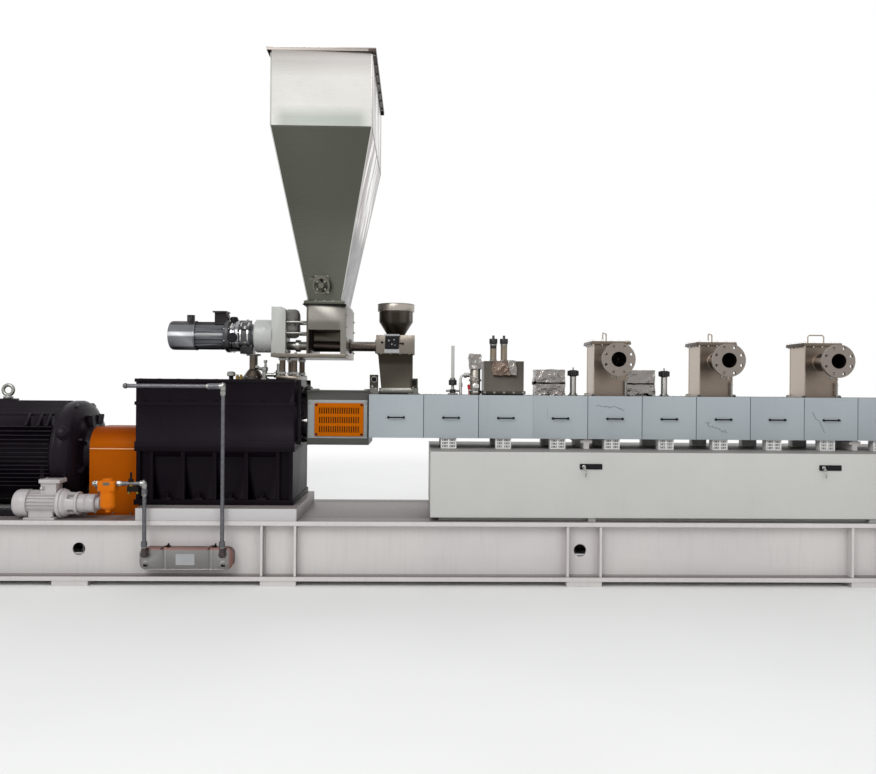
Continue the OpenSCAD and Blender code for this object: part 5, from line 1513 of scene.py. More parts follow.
@dataclass
class Feeder(SubAssembly):
    """Screws, knobs and handles of the feeder drive, stand and chamber."""

    hopper_x: float = -0.710
    plate_z: float = 1.570
    motor_z: float = 1.708
    motor_x0: float = -1.871
    drive_x0: float = -1.470
    block_x0: float = -1.118
    top_z: float = 1.916
    gear_top_z: float = 1.388
    flange_z: float = 1.936

    def build(self) -> None:
        """Builds the pieces."""
        self.drive_screws()
        self.rings()
        self.stand_screws()
        self.chamber_trim()
        self.small_fittings()

    def drive_screws(self) -> None:
        """Bright screws round the variable drive and the reducer."""
        work = Solid()
        x, z = self.drive_x0, self.motor_z
        work.bolts((x + 0.014, 0, z), 0.112, 8, LEFT, M8)
        work.bolts((x + 0.112, 0, z), 0.104, 8, RIGHT, M8, 0.2)
        work.bolts((x + 0.040, 0, z), 0.110, 8, RIGHT, M8)
        for way, dx in product(map(spoke, turns(6)), (0.062, 0.16)):
            work.screw(Vector((self.drive_x0 + dx, 0, self.motor_z)) + way * 0.114, way, M10)
        for way in map(spoke, (0.9, 2.2, 3.6, 5.2)):
            work.screw(Vector((self.block_x0 - 0.05, 0, self.motor_z)) + way * 0.121, way, M8)
        work.screws((self.block_x0 + 0.101,), (-0.09, 0.09), (1.60, 1.74), RIGHT, M10)
        work.bolts((self.block_x0 + 0.161, 0, self.top_z - 0.074), 0.058, 6, RIGHT, M6, 0.0)
        work.piece("feeder_drive_screws", Paint.BRIGHT, "steel")

    def rings(self) -> None:
        """Collars, cowl rim, cowl screws and the control wheel of the variable drive."""
        rim = Solid()
        rim.turned((self.motor_x0 + 0.183, 0, self.motor_z), RIGHT,
            mm((0, 106.2), (3, 108.5), (10, 108.5), (12, 106.2)), 48)
        rim.screw((self.motor_x0 + 0.02, 0, self.motor_z), LEFT, M10)
        rim.piece("feeder_cowl_rim", Paint.SILVER_MOTOR, "feeder_silver")
        band = Solid()
        for x in (0.052, 0.118, 0.17):
            band.turned((self.drive_x0 + x, 0, self.motor_z), RIGHT,
                mm((0, 99), (2, 103.5), (12, 103.5), (14, 99)), 40)
        band.piece("feeder_bright_collars", Paint.BRIGHT, "steel")
        wheel = Solid()
        foot = Vector((self.drive_x0 + 0.078, -0.10, self.motor_z - 0.02))
        wheel.turned(foot, FRONT, mm((0, 16), (30, 16), (32, 34), (46, 36), (50, 30), (50, 12)), 28)
        wheel.turned((self.drive_x0 + 0.06, 0, self.motor_z + 0.1), UP,
            mm((0, 34), (20, 34), (24, 28), (36, 26), (40, 18)), 24)
        wheel.piece("feeder_speed_wheel", Paint.BLACK, "black_plastic", 0.001)

    def stand_screws(self) -> None:
        """Screws of the stand plate, its foot and the pedestal."""
        work = Solid()
        x = self.hopper_x
        work.screws((x - 0.35, x - 0.20, x + 0.135), (-0.315, 0.315), (self.plate_z,), UP, M12)
        work.screws((x - 0.335, x - 0.205), (-0.228, 0.228, -0.1, 0.1), (self.gear_top_z + 0.028,), UP, M10)
        for t in turns(6):
            u, v = x - 0.556 + 0.070 * math.cos(t), 0.070 * math.sin(t)
            work.screw((u, v, self.gear_top_z + 0.018), UP, M10)
        for seat in product((x - 0.312, x - 0.228), (-0.19, 0.19), (1.428, 1.526)):
            work.turned(seat, UP, mm((0, 30), (16, 30), (18, 27)), 6)
        work.piece("stand_screws", Paint.ZINC, "steel")

    def chamber_trim(self) -> None:
        """Tie-rod nuts, side plate screws and the dark gasket of the hopper flange."""
        work = Solid()
        x = self.hopper_x
        left, right = x - 0.125, x + 0.151
        work.screws((self.block_x0 + 0.115,), (-0.092, 0.092), (1.728, 1.808), RIGHT, M12)
        work.screws((left,), (-0.092, 0.092), (1.728, 1.808), LEFT, M12)
        work.screws((right,), (-0.318, 0.318), (1.60, 1.68, 1.76, 1.84), RIGHT, M8)
        work.bolts((right + 0.012, 0, 1.639), 0.046, 6, RIGHT, M6)
        work.screws([x + dx for dx in (-0.125, -0.06, 0.0, 0.06, 0.125)], (-0.346, 0.346), (self.flange_z,),
            UP, M8)
        work.screws((x - 0.132, x + 0.132), (-0.24, -0.12, 0.0, 0.12, 0.24), (self.flange_z,), UP, M8)
        work.piece("chamber_screws", Paint.ZINC, "steel")
        gasket = Solid()
        for y in (-0.345, 0.345):
            gasket.block((self.hopper_x - 0.150, y - 0.014, 1.9130),
                (self.hopper_x + 0.150, y + 0.014, 1.9158))
        for x in (self.hopper_x - 0.136, self.hopper_x + 0.136):
            gasket.block((x - 0.014, -0.356, 1.9100), (x + 0.014, 0.356, 1.9157))
        gasket.piece("hopper_flange_gasket", Paint.GASKET, "black_plastic")

    def small_fittings(self) -> None:
        """Cover of the third shaft, and the oil level cluster beside the pedestal."""
        cover = Solid()
        foot, low = self.block_x0 + 0.101, self.top_z - 0.156
        cover.turned((foot, 0, low), RIGHT, mm((0, 66), (60, 66), (78, 56), (88, 36)), 40)
        cover.block((foot, -0.066, low), (foot + 0.059, 0.066, self.top_z - 0.074))
        cover.piece("feeder_third_shaft_cover", Paint.FEEDER, "feeder_paint", 0.001)
        work = Solid()
        x, y, z = -1.165, -0.10, self.gear_top_z
        work.turned((x, y, z), UP,
            mm((0, 30), (12, 30), (14, 18), (60, 18), (64, 24), (88, 24), (92, 18)), 24)
        work.turned((x + 0.045, y, z + 0.035), RIGHT,
            mm((-50, 14), (20, 14), (22, 20), (38, 20), (40, 12)), 20)
        work.turned((x - 0.02, y, z + 0.075), Vector((-1, -0.3, 0.4)),
            mm((0, 12), (30, 12), (34, 17), (50, 17)), 6)
        work.turned((x + 0.005, y, z + 0.092), UP, mm((0, 10), (30, 8), (34, 13), (50, 13)), 12)
        work.turned((-1.07, -0.06, z + 0.028), UP, mm((0, 24), (40, 24), (44, 16), (90, 16)), 24)
        work.piece("feeder_oil_valve", Paint.ZINC, "steel", 0.0008)
        knobs = Solid()
        for x in (-1.33, -1.305):
            knobs.turned((x, -0.24, self.gear_top_z), UP, mm((0, 12), (20, 12), (22, 9), (34, 9)), 12)
        knobs.piece("gearbox_top_plugs", Paint.BRASS, "steel")


@dataclass
class SupplyHopper(SubAssembly):
    """Rim screws, folded corner seams and vibrator screws of the supply hopper."""

    x: float = -0.710
    width: float = 0.668
    depth: float = 1.216
    outlet: tuple[float, float] = (0.230, 0.660)
    z: tuple[float, float, float] = (1.936, 3.066, 3.581)

    def build(self) -> None:
        """Builds the pieces."""
        self.rim()
        self.seams()
        self.vibrator()

    def rim(self) -> None:
        """Screws under and on the rim flange, and its folded lower lip."""
        work = Solid()
        y, z = self.depth / 2 + 0.013, self.z[2]
        for x, y in product([self.x + 0.165 * i for i in (-2, -1, 0, 1, 2)], (-y, y)):
            work.screw((x, y, z - 0.006), DOWN, M10)
            work.turned((x, y, z - 0.002), UP, mm((0, 9), (1.8, 8)), 6)
        x = self.width / 2 + 0.013
        work.screws((self.x - x, self.x + x), [0.18 * i for i in range(-3, 4)], (z - 0.006,), DOWN, M10)
        work.piece("hopper_rim_screws", Paint.ZINC, "steel")
        lip = Solid()
        half, deep = self.width / 2, self.depth / 2
        for y in (-deep - 0.0255, deep + 0.0235):
            lip.block((self.x - half - 0.026, y, z - 0.024), (self.x + half + 0.026, y + 0.002, z - 0.0055))
        for x in (self.x - half - 0.0255, self.x + half + 0.0235):
            lip.block((x, -deep - 0.024, z - 0.024), (x + 0.002, deep + 0.024, z - 0.0055))
        lip.piece("hopper_rim_lip", Paint.HOPPER_RIM, "stainless")

    def seams(self) -> None:
        """Bright folded seams along the corners of the box and the taper."""
        work = Solid()
        half, deep = self.width / 2, self.depth / 2
        for sx, sy in CORNERS:
            foot = (self.x + sx * self.outlet[0] / 2, sy * self.outlet[1] / 2, self.z[0])
            knee = (self.x + sx * half, sy * deep, self.z[1])
            work.tube([foot, knee], 0.0042, 8)
            work.tube([knee, (self.x + sx * half, sy * deep, self.z[2] - 0.006)], 0.0042, 8)
        work.piece("hopper_corner_seams", Paint.BRIGHT, "stainless")
        fold = Solid()
        for side in SIDES:
            x, y, z = self.x + side * half, side * deep, self.z[1]
            fold.tube([(self.x - half, y, z), (self.x + half, y, z)], 0.003, 8)
            fold.tube([(x, -deep, z), (x, deep, z)], 0.003, 8)
        fold.piece("hopper_fold_line", Paint.HOPPER_FLANGE, "stainless")

    def vibrator(self) -> None:
        """Cap ring and screws of the vibrator."""
        slope = math.atan2((self.depth - self.outlet[1]) / 2, self.z[1] - self.z[0])
        foot = (self.x - 0.015, -self.outlet[1] / 2 - 0.114 * math.tan(slope) - 0.0003, self.z[0] + 0.114)
        place = Matrix.Translation(foot) @ Matrix.Rotation(slope, 4, "X")
        way = (place.to_3x3() @ Vector((0, -1, 0))).normalized()
        ring = Solid()
        ring.turned(place @ Vector((0, -0.056, 0)), way, mm((0, 56), (2, 60), (8, 60), (10, 56)), 40)
        ring.turned(place @ Vector((0, -0.066, 0)), way, mm((0, 20), (4, 18)), 24)
        ring.piece("vibrator_cap_ring", Paint.VIBRATOR, "feeder_silver")
        work = Solid()
        for sx, sz in CORNERS:
            work.screw(place @ Vector((sx * 0.02687, -0.066, sz * 0.02687)), way, M6)
            work.screw(place @ Vector((sx * 0.040, -0.010, sz * 0.054)), way, M8)
        work.piece("vibrator_screws", Paint.ZINC, "steel")


@dataclass
class FeedPoint(SubAssembly):
    """Level switch, plates and screws of the feed box, hopper and chute."""

    x: float = -0.222
    face_y: float = -0.139
    # Just above the top face of the covers
    seat_z: float = 1.2898

    def build(self) -> None:
        """Builds the pieces."""
        self.switch()
        self.rim_bead()
        self.chute_trim()
        self.neighbours()

    def switch(self) -> None:
        """Level switch with small lamps on the face of the box, between two pale plates."""
        body = Solid()
        centre = (-0.246, self.face_y, 1.663)
        body.slab(centre, FRONT, soft_outline(0.098, 0.092, 0.008), 0.030)
        body.slab((centre[0], self.face_y - 0.030, centre[2]), FRONT,
            soft_outline(0.084, 0.078, 0.006), 0.004)
        body.piece("level_switch", Paint.BLACK, "black_plastic", 0.002)
        lamps = Solid()
        for dx, dz, r in ((-0.022, 0.012, 0.006), (0.016, 0.018, 0.005), (0.0, -0.014, 0.005),
            (0.022, -0.020, 0.004)):
            lamps.turned((centre[0] + dx, self.face_y - 0.034, centre[2] + dz), FRONT,
                [(0, r), (0.003, r), (0.005, r * 0.6)], 16)
        lamps.piece("level_switch_lamps", Paint.LABEL, "white_plastic")
        plates = Solid()
        plates.slab((-0.246, self.face_y, 1.7155), FRONT, soft_outline(0.108, 0.014, 0.002), 0.020)
        plates.slab((-0.246, self.face_y, 1.601), FRONT, soft_outline(0.108, 0.026, 0.002), 0.024)
        plates.piece("level_switch_plates", Paint.LABEL, "white_plastic", 0.001)
        dots = Solid()
        for x, z in ((-0.318, 1.663), (-0.168, 1.655)):
            dots.socket((x, self.face_y, z), FRONT, 0.0085)
        dots.rod((-0.198, self.face_y - 0.016, 1.658), (-0.170, self.face_y - 0.016, 1.656), 0.004, 12)
        dots.piece("feed_box_screws", Paint.OXIDE, "steel")

    def rim_bead(self) -> None:
        """Rolled bead at the rim, weld rings and the seam of the feed hopper."""
        work = Solid()
        for r, z, thick in ((0.1335, 1.9475, 0.0035), (0.1258, 1.898, 0.0028), (0.0640, 1.7195, 0.004)):
            circle = [(self.x + r * math.cos(t), r * math.sin(t), z) for t in (*turns(64), math.tau)]
            work.tube(circle, thick, 8)
        work.tube([(self.x + 0.104, -0.0675, 1.823), (self.x + 0.104, -0.0675, 1.896)], 0.002, 6)
        work.piece("feed_hopper_beads", Paint.ZINC, "stainless")

    def chute_trim(self) -> None:
        """Screws of the chute's flanges."""
        work = Solid()
        work.screws((-0.325, -0.257, -0.189, -0.121), (-0.133, 0.133), (1.583,), DOWN, M6)
        for side in (FRONT, REAR):
            work.screws((-0.315, -0.235, -0.155), (side.y * 0.125,), (1.316,), side, M8)
        work.piece("chute_screws", Paint.ZINC, "steel")

    def neighbours(self) -> None:
        """Clamp block with a round hole left of the chute foot, and the bracket right of it."""
        block = Solid()
        block.block((-0.404, -0.150, self.seat_z), (-0.345, -0.090, 1.43))
        block.block((-0.410, -0.155, self.seat_z), (-0.338, -0.085, 1.312))
        block.block((-0.3995, -0.152, 1.352), (-0.3495, -0.148, 1.425))
        block.piece("chute_clamp_block", Paint.CHUTE, "stainless", 0.002)
        # Painted shade: a black disc for the clamp block's round hole, and a black plate for the opening in
        # the bracket.
        holes = Solid()
        holes.turned((-0.372, -0.152, 1.396), FRONT, mm((0, 17), (1, 17)), 28)
        holes.slab((-0.085, -0.1502, 1.373), FRONT, soft_outline(0.032, 0.040, 0.003), 0.001)
        holes.piece("chute_dark_holes", Paint.GASKET, "black_plastic")
        ring = Solid()
        ring.tube([(-0.372 + 0.020 * math.cos(t), -0.153, 1.396 + 0.020 * math.sin(t))
            for t in (*turns(32), math.tau)], 0.003, 8)
        ring.screw((-0.385, -0.152, 1.345), FRONT, M8)
        ring.screw((-0.36, -0.15, 1.33), FRONT, M6)
        ring.piece("chute_clamp_ring", Paint.ZINC, "steel")
        bracket = Solid()
        bracket.block((-0.112, -0.150, 1.340), (-0.058, -0.08, 1.405))
        bracket.block((-0.090, -0.145, self.seat_z), (-0.055, -0.09, 1.340))
        bracket.block((-0.128, -0.150, self.seat_z), (-0.045, -0.08, 1.300))
        bracket.piece("chute_bracket", Paint.CHUTE, "stainless", 0.002)
        studs = Solid()
        for x, y in ((0.0, -0.2), (0.035, -0.22), (0.07, -0.16), (0.10, -0.20)):
            studs.screw((x, y, 1.2895), UP, M6)
        studs.piece("cover_top_studs", Paint.ZINC, "steel")


@dataclass
class VentLine(SubAssembly):
    """The vent stacks with their lids, screws, corner edges and drain fittings."""

    x: tuple[float, ...] = (1.343, 2.119, 2.895)
    half: float = 0.120
    wall: float = 0.005
    barrel_z: float = 1.255
    foot_z: float = 1.290
    rim_z: tuple[float, float] = (1.6635, 1.6755)
    rim_half: float = 0.146
    lid_z: float = 1.6875
    axis_z: float = 1.548
    flange_y: tuple[float, float] = (-0.350, -0.372)
    flange_r: float = 0.1175
    neck_r: float = 0.062
    bore_r: float = 0.053
    pitch_r: float = 0.095
    hole_r: float = 0.011
    holes: int = 8
    bails: tuple[tuple[float, float], ...] = ((-0.018, 65.0), (-0.003, 58.0), (0.017, 0.0))

    def build(self) -> None:
        """Builds the pieces."""
        self.stacks()
        self.lids()
        self.lid_screws()
        self.corner_edges()
        self.foot_frames()
        self.neck_welds()
        self.fittings()

    def front_wall(self) -> list[tuple[float, float]]:
        """Outline of the front wall about the neck's axis, with a corner for each ray of the bore."""
        side, low, high = self.half - self.wall, self.barrel_z - self.axis_z, self.rim_z[0] - self.axis_z
        angles = turns(32) + [math.atan2(y, x) % math.tau for x in (-side, side) for y in (low, high)]
        outline = []
        for angle in sorted(angles):
            c, s = math.cos(angle), math.sin(angle)
            reach = min(side / max(abs(c), 1e-9), (high if s > 0 else -low) / max(abs(s), 1e-9))
            outline.append((reach * c, reach * s))
        return outline

    def flange_sector(self, i: int) -> tuple[list[tuple[float, float]], tuple[float, float, float]]:
        """Outline and bolt hole of one of the sectors that make up the flange."""
        mid, half = (i + 0.5) * math.tau / self.holes, math.pi / self.holes
        rays = [mid - half + k * half / 3 for k in range(7)]
        outer = [(self.flange_r * math.cos(t), self.flange_r * math.sin(t)) for t in rays]
        inner = [(self.bore_r * math.cos(t), self.bore_r * math.sin(t)) for t in reversed(rays)]
        return outer + inner, (self.pitch_r * math.cos(mid), self.pitch_r * math.sin(mid), self.hole_r)

    def stacks(self) -> None:
        """Boxes of sheet with a rim, a neck and a drilled flange, whose rim and neck are narrow."""
        work = Solid()
        h, w, z, top = self.half, self.wall, self.axis_z, self.rim_z[0]
        y0, y1 = self.flange_y
        circle = [(self.neck_r * math.cos(t), self.neck_r * math.sin(t)) for t in turns(48)]
        for mid in self.x:
            for x in (mid - h, mid + h - w):
                work.block((x, -h, self.barrel_z), (x + w, h, top))
            work.block((mid - h + w, h - w, self.barrel_z), (mid + h - w, h, top))
            work.holed((mid, -h + w, z), FRONT, self.front_wall(), (0, 0, self.bore_r), w)
            work.holed((mid, -h, z), FRONT, circle, (0, 0, self.bore_r), -y0 - h)
            flange = Solid()
            for i in range(self.holes):
                flange.holed((mid, y0, z), FRONT, *self.flange_sector(i), y0 - y1)
            bmesh.ops.remove_doubles(flange.bm, verts=flange.bm.verts[:], dist=WELD)
            work.absorb(flange)
            work.slab((mid, 0, top), UP, soft_outline(2 * self.rim_half, 2 * self.rim_half, 0.010), 0.012)
        stacks = work.piece("vent_stack_bodies", Paint.VENT, "warm_stainless", 0.0008)
        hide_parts("vent_stacks")

    def lids(self) -> None:
        """Lids with a bent bail each, which stands at a different turn on every lid."""
        work = Solid()
        bail = ((-0.060, 0.0), (-0.060, 0.056), (-0.050, 0.066), (0.050, 0.066), (0.060, 0.056), (0.060, 0.0))
        for mid, (shift, turn) in zip(self.x, self.bails):
            side = 2 * self.rim_half - 0.004
            work.slab((mid, 0, self.rim_z[1]), UP, soft_outline(side, side, 0.010),
                self.lid_z - self.rim_z[1])
            c, s = math.cos(math.radians(turn)), math.sin(math.radians(turn))
            work.tube([(mid + shift + u * c, u * s, self.lid_z - 0.001 + v) for u, v in bail], 0.005, 12)
        lids = work.piece("vent_lid_plates", Paint.LID, "warm_stainless", 0.0006)
        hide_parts("vent_lids")

    def lid_screws(self) -> None:
        """Bright domed screws round the lid, with nuts below the rim, and the gasket's edge."""
        work = Solid()
        dome = mm((-1, 8.5), (5, 8.5), (9, 7), (12, 4))
        nut = [(0, M8), (0.008, M8), (0.009, M8 * 0.85)]
        for mid in self.x:
            for x, y in product((-0.128, -0.064, 0.0, 0.064, 0.128), repeat=2):
                if max(abs(x), abs(y)) == 0.128:
                    work.turned((mid + x, y, self.lid_z), UP, dome, 12)
                    work.turned((mid + x, y, self.rim_z[0] + 0.001), DOWN, nut, 6)
        work.piece("vent_lid_screws", Paint.CHROME, "steel")
        gasket = Solid()
        for mid in self.x:
            for y in (-0.1463, 0.1453):
                gasket.block((mid - 0.140, y, 1.6752), (mid + 0.140, y + 0.001, 1.6758))
        gasket.piece("vent_lid_gaskets", Paint.GASKET, "black_plastic")

    def corner_edges(self) -> None:
        """Ground weld seams up the corners of each stack."""
        work = Solid()
        for mid in self.x:
            for sx, sy in CORNERS:
                x, y = mid + sx * self.half, sy * self.half
                work.tube([(x, y, self.barrel_z + 0.03), (x, y, self.rim_z[0] + 0.001)], 0.003, 8)
        work.piece("vent_corner_seams", Paint.LID, "warm_stainless")

    def foot_frames(self) -> None:
        """Frame of flat bar round the foot of each stack."""
        work = Solid()
        reach = self.half + 0.02
        for mid in self.x:
            for side in SIDES:
                y = side * (self.half + 0.010)
                work.block((mid - reach, y - 0.010, self.foot_z),
                    (mid + reach, y + 0.010, self.foot_z + 0.010))
                x = mid + side * (self.half + 0.010)
                work.block((x - 0.010, -reach, self.foot_z), (x + 0.010, reach, self.foot_z + 0.010))
        work.piece("vent_foot_frames", Paint.VENT, "warm_stainless", 0.001)

    def neck_welds(self) -> None:
        """Weld rings where the neck meets the stack and the flange."""
        work = Solid()
        r = self.neck_r + 0.001
        for mid, y in product(self.x, (-self.half - 0.001, self.flange_y[0] + 0.001)):
            work.tube([(mid + r * math.cos(t), y + 0.0008 * math.sin(9 * t), self.axis_z + r * math.sin(t))
                for t in (*turns(56), math.tau)], 0.004, 8)
        work.piece("vent_neck_welds", Paint.VENT, "warm_stainless")

    def fittings(self) -> None:
        """Drain nipples below the flange, and tie bolts at the foot of each stack."""
        work = Solid()
        for mid in self.x:
            for dx in (-0.050, -0.008):
                foot = (mid + dx, -0.361, self.axis_z - math.sqrt(self.flange_r ** 2 - dx ** 2) + 0.003)
                work.turned(foot, DOWN, mm((0, 5.5), (8, 5.5), (9, 9), (18, 9), (20, 6)), 6)
            x, y, z = mid + 0.105, -0.145, self.foot_z
            work.rod((x, y, z), (x, y, z + 0.11), 0.0065, 14)
            work.screws((x,), (y,), (z + 0.009, z + 0.085), UP, M10)
            work.screws((mid - 0.13, mid + 0.13), (-0.13, 0.13), (z + 0.009,), UP, M10)
        work.piece("vent_fittings", Paint.ZINC, "steel")


@dataclass
class PortLine(SubAssembly):
    """Foil wraps, valve fittings and clamp posts between the feed point and the vents."""

    top_z: float = 1.4785
    band_z: tuple[float, float] = (1.3735, 1.3855)
    plugs: tuple[tuple[float, float, float], ...] = ((0.806, 1.016, 1.255), (1.470, 1.676, 1.2865))
    seed: float = 7.3
    post_x: tuple[float, float] = (1.093, 1.773)

    def build(self) -> None:
        """Builds the pieces."""
        self.foil_plugs()
        self.foil_caps()
        self.valve_trim()
        self.posts()
        self.post_brackets()
        self.port_trim()

    def wrap(self, low: Point, high: Point, depth: float, facet: float, seed: float) -> Solid:
        """A block wrapped in foil, whose faces are pushed in and out in sharp facets.

        Args:
            low: lowest corner.
            high: highest corner.
            depth: how far the facets move.
            facet: width of a facet.
            seed: shift of the pattern.

        Returns:
            The mesh.
        """
        made = Solid()
        made.block(low, high)
        longest = max(b - a for a, b in zip(low, high))
        cuts = max(6, int(longest / facet * 2.2))
        bmesh.ops.subdivide_edges(made.bm, edges=made.bm.edges[:], cuts=cuts, use_grid_fill=True)
        middle = (Vector(low) + Vector(high)) / 2
        for vert in made.bm.verts:
            away = (vert.co - middle).normalized()
            spot = vert.co / facet + Vector((seed, seed * 2, seed * 3))
            push = noise.voronoi(spot)[0][0] - 0.45
            fine = noise.noise(spot * 2.7) * 0.45
            vert.co += away * depth * (push + fine)
            vert.co += noise.noise_vector(spot * 1.4) * depth * 0.35
        bmesh.ops.triangulate(made.bm, faces=made.bm.faces[:])
        return made

    def foil_plugs(self) -> None:
        """Two wrapped plugs of two blocks each, with a dark band between."""
        whole = Solid()
        for x0, x1, z0 in self.plugs:
            for low, high in ((z0, self.band_z[0]), (self.band_z[1], self.top_z)):
                whole.absorb(self.wrap((x0, -0.1, low), (x1, 0.1, high), 0.011, 0.062, self.seed + x0))
        foil = whole.piece("port_plug_foil", Paint.FOIL, "foil")
        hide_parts("port_plugs")
        band = Solid()
        for x0, x1, _ in self.plugs:
            band.block((x0 + 0.004, -0.096, self.band_z[0] - 0.010),
                (x1 - 0.004, 0.096, self.band_z[1] + 0.010))
            for x in (x0 - 0.012, x1 + 0.002):
                band.block((x, -0.05, self.band_z[0] - 0.006), (x + 0.010, 0.05, self.band_z[1] + 0.006))
        band.piece("port_plug_bands", Paint.GASKET, "black_plastic", 0.002)

    def foil_caps(self) -> None:
        """Foil pressed over the front of the side port and over the valve stack."""
        bright = self.wrap((0.596, -0.150, 1.440), (0.650, -0.116, 1.5385), 0.014, 0.05, 3.1)
        bright.piece("side_port_foil", Paint.FOIL, "foil")
        # The left part of the port's foil is the same foil in a darker painted shade.
        dark = self.wrap((0.480, -0.149, 1.432), (0.610, -0.114, 1.5385), 0.014, 0.06, 5.7)
        dark.piece("side_port_dark_foil", Paint.DARK_FOIL, "foil")
        over = self.wrap((0.318, -0.104, 1.480), (0.402, -0.016, 1.585), 0.016, 0.05, 9.4)
        over.piece("valve_foil", Paint.FOIL, "foil")

    def valve_trim(self) -> None:
        """Elbows, cap nuts, a lever and a red tag on the valve stack."""
        work = Solid()
        x, y = 0.361, -0.06
        work.turned((x, y - 0.038, 1.352), FRONT, mm((0, 20), (28, 20), (30, 26), (48, 26), (52, 18)), 6)
        work.turned((x - 0.038, y, 1.432), LEFT, mm((0, 16), (24, 16), (26, 22), (42, 22), (46, 14)), 6)
        work.tube([(x - 0.08, y, 1.432), (x - 0.098, y - 0.01, 1.428), (x - 0.106, y - 0.012, 1.408),
            (x - 0.106, y - 0.012, 1.372)], 0.009, 12)
        work.turned((x - 0.106, y - 0.012, 1.352), UP, mm((-2, 16), (22, 16), (25, 12)), 6)
        work.rod((x - 0.106, y - 0.012, 1.2895), (x - 0.106, y - 0.012, 1.352), 0.011, 16)
        work.turned((x, y, 1.308), UP, mm((0, 50), (12, 50), (15, 46)), 8)
        work.tube([(x + 0.01, y - 0.05, 1.405), (x - 0.03, y - 0.066, 1.42), (x - 0.06, y - 0.07, 1.45)],
            0.005, 8, 0.6)
        work.piece("valve_fittings", Paint.BRIGHT, "steel", 0.0006)
        tag = Solid()
        tag.slab((0.312, -0.128, 1.347), FRONT, soft_outline(0.020, 0.036, 0.004), 0.003, 0.1)
        tag.block((0.308, -0.128, 1.2895), (0.316, -0.122, 1.335))
        tag.piece("valve_tag", Paint.RED, "safety_orange", 0.0008)

    def posts(self) -> None:
        """Clamp posts under black star knobs, and the slim post by the feed chute."""
        work = Solid()
        for x in self.post_x:
            work.rod((x, 0, 1.255), (x, 0, 1.4325), 0.023, 32)
            work.turned((x, 0, 1.432), UP, mm((0, 26), (4, 32), (40, 32), (46.5, 26)), 32)
            for t in turns(6):
                u, v = x + 0.030 * math.cos(t), 0.030 * math.sin(t)
                work.rod((u, v, 1.436), (u, v, 1.474), 0.012, 14)
            work.rod((x, 0, 1.478), (x, 0, 1.4985), 0.006, 12)
        x = 0.200
        for low, high, r in ((1.255, 1.3295, 0.022), (1.32, 1.6515, 0.012), (1.3595, 1.3995, 0.030)):
            work.rod((x, 0, low), (x, 0, high), r, 32)
        posts = work.piece("clamp_post_bars", Paint.POST, "steel")
        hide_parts("clamp_posts")

    def post_brackets(self) -> None:
        """Small clamps at the foot of each post, and the cross bar of the slim post."""
        work = Solid()
        for x in self.post_x:
            work.turned((x, 0, 1.2865), UP, mm((0, 36), (10, 36), (12, 30), (22, 26)), 28)
        work.turned((0.200, 0, 1.3995), UP, mm((0, 20), (12, 20), (15, 14)), 20)
        work.block((0.165, -0.05, 1.2905), (0.235, 0.05, 1.302))
        work.rod((0.150, 0, 1.318), (0.250, 0, 1.318), 0.008, 16)
        work.piece("post_collars", Paint.ZINC, "steel", 0.001)

    def port_trim(self) -> None:
        """Screws of the side port's clamp frame, and the gauges' collars."""
        work = Solid()
        for side in (FRONT, REAR):
            work.screws((0.427, 0.497, 0.567, 0.637, 0.707), (side.y * 0.132,), (1.3075,), side, M8)
        for x in (0.495, 0.573):
            work.turned((x, -0.04, 1.5365), UP, mm((0, 30), (12, 30), (14, 26), (20, 26)), 6)
            work.turned((x, -0.04, 1.652), UP, mm((0, 24.5), (1, 26.2), (9, 26.2), (10, 24.5)), 28)
        work.piece("side_port_screws", Paint.ZINC, "steel")


# ---------------------------------------------------------------------------------------------
# Studio
# ---------------------------------------------------------------------------------------------


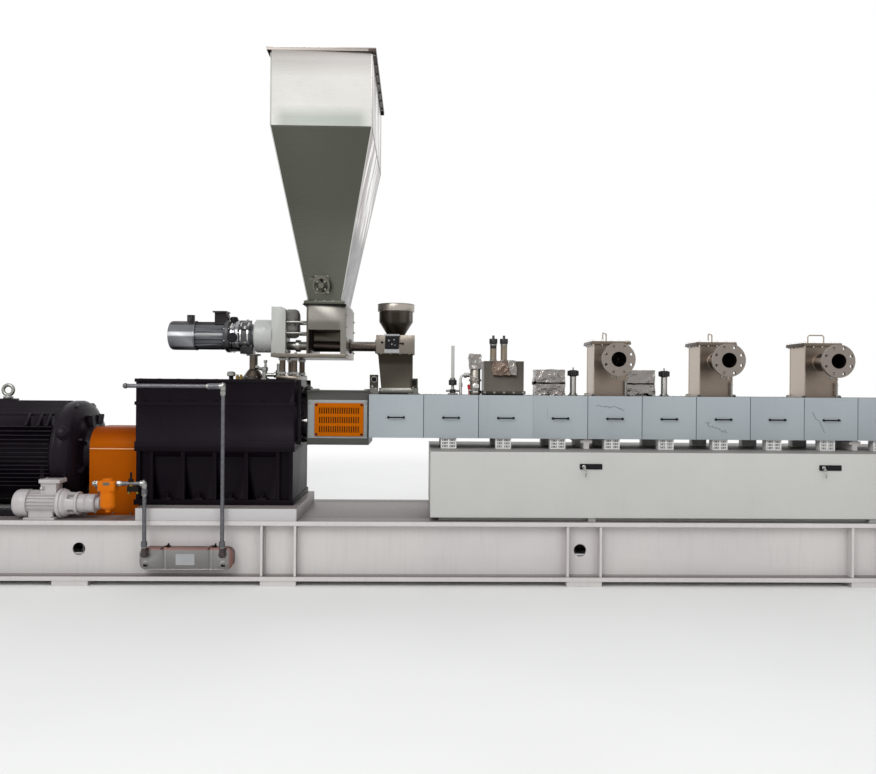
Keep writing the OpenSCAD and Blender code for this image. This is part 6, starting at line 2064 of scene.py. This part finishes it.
@dataclass
class Studio:
    """Floor, light and camera."""

    focal_px: float = 812.0
    image_px: float = 876.0
    sensor_mm: float = 36.0
    eye: tuple[float, float, float] = (-0.05, -6.0, 1.345)
    yaw_deg: float = 1.35
    roll_deg: float = 0.45
    floor_half: float = 40.0
    # Name, place, aim, size in metres and power in watts of each lamp
    lamps: tuple[tuple[str, Point, Point, float, float], ...] = (
        ("key", (-3.5, -7.0, 6.5), (0.0, 0.0, 1.0), 5.0, 330.0),
        ("fill", (5.0, -7.5, 4.0), (0.5, 0.0, 1.0), 5.0, 160.0),
        ("rear", (1.0, 6.5, 6.0), (0.0, 0.0, 1.2), 6.0, 200.0),
    )
    sky: float = 0.62
    # The one lamp that shows in reflections
    glossy_lamp: str = "key"

    def build(self) -> None:
        """Builds the studio."""
        self.camera()
        self.floor()
        self.light()
        self.world()

    def camera(self) -> None:
        """Sets the camera at the photograph's place and angle."""
        data = bpy.data.cameras.new("camera")
        data.sensor_width = self.sensor_mm
        data.lens = self.focal_px / self.image_px * self.sensor_mm
        data.clip_start, data.clip_end = 0.05, 200.0
        made = placed("camera", data)
        yaw, roll = math.radians(self.yaw_deg), math.radians(self.roll_deg)
        ahead = Vector((math.sin(yaw), math.cos(yaw), 0))
        right = Vector((math.cos(yaw), -math.sin(yaw), 0))
        up = right.cross(ahead)
        across = right * math.cos(roll) + up * math.sin(roll)
        above = up * math.cos(roll) - right * math.sin(roll)
        turn = Matrix((across, above, -ahead)).transposed().to_4x4()
        made.matrix_world = Matrix.Translation(self.eye) @ turn
        bpy.context.scene.camera = made

    def floor(self) -> None:
        """Lays the pale floor."""
        mesh = bpy.data.meshes.new("floor")
        h = self.floor_half
        mesh.from_pydata([(-h, -h, 0), (h, -h, 0), (h, h, 0), (-h, h, 0)], [], [(0, 1, 2, 3)])
        made = placed("floor", mesh)
        made.data.materials.append(StudioFloor("#f1f1ef").material("studio_floor"))

    def light(self) -> None:
        """Hangs the soft lamps."""
        for name, place, aim, size, power in self.lamps:
            data = bpy.data.lights.new(name, "AREA")
            data.shape, data.size, data.energy = "DISK", size, power
            made = placed(name, data)
            made.location = place
            made.rotation_euler = (Vector(aim) - Vector(place)).to_track_quat("-Z", "Y").to_euler()
            made.visible_glossy = name == self.glossy_lamp

    def world(self) -> None:
        """Lights the room evenly, and shows white behind the machine and in its reflections."""
        world = bpy.data.worlds.new("world")
        bpy.context.scene.world = world
        net = Net(world)
        seen = net.add("LightPath")
        shown = seen.outputs["Is Camera Ray"]
        for ray in ("Is Glossy Ray", "Is Transmission Ray"):
            shown = net.add("Math", {0: shown, 1: seen.outputs[ray]}, operation="MAXIMUM").outputs[0]
        soft = net.add("Background", {"Color": (0.96, 0.98, 1.0, 1.0), "Strength": self.sky})
        white = net.add("Background", {"Color": (1.0, 1.0, 1.0, 1.0), "Strength": 1.0})
        both = net.add("MixShader", {0: shown, 1: soft.outputs[0], 2: white.outputs[0]})
        net.add("OutputWorld", {"Surface": both.outputs[0]})
        bpy.context.scene.view_settings.view_transform = "Standard"


def main() -> None:
    """Loads the frame, coats it and builds each sub-assembly in order."""
    logging.basicConfig(level=logging.INFO, format="%(message)s")
    noise.seed_set(NOISE_SEED)
    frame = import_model()
    Studio().build()
    coat_frame(frame["nodes"])
    for work in (WeldedBase, MainMotor, CouplingGuard, GearUnit, OilSet, Lantern, BarrelLine, Cabinet,
            Manifold, Feeder, SupplyHopper, FeedPoint, VentLine, PortLine):
        LOG.info("building %s", work.__name__)
        work().build()


if __name__ == "__main__":
    main()
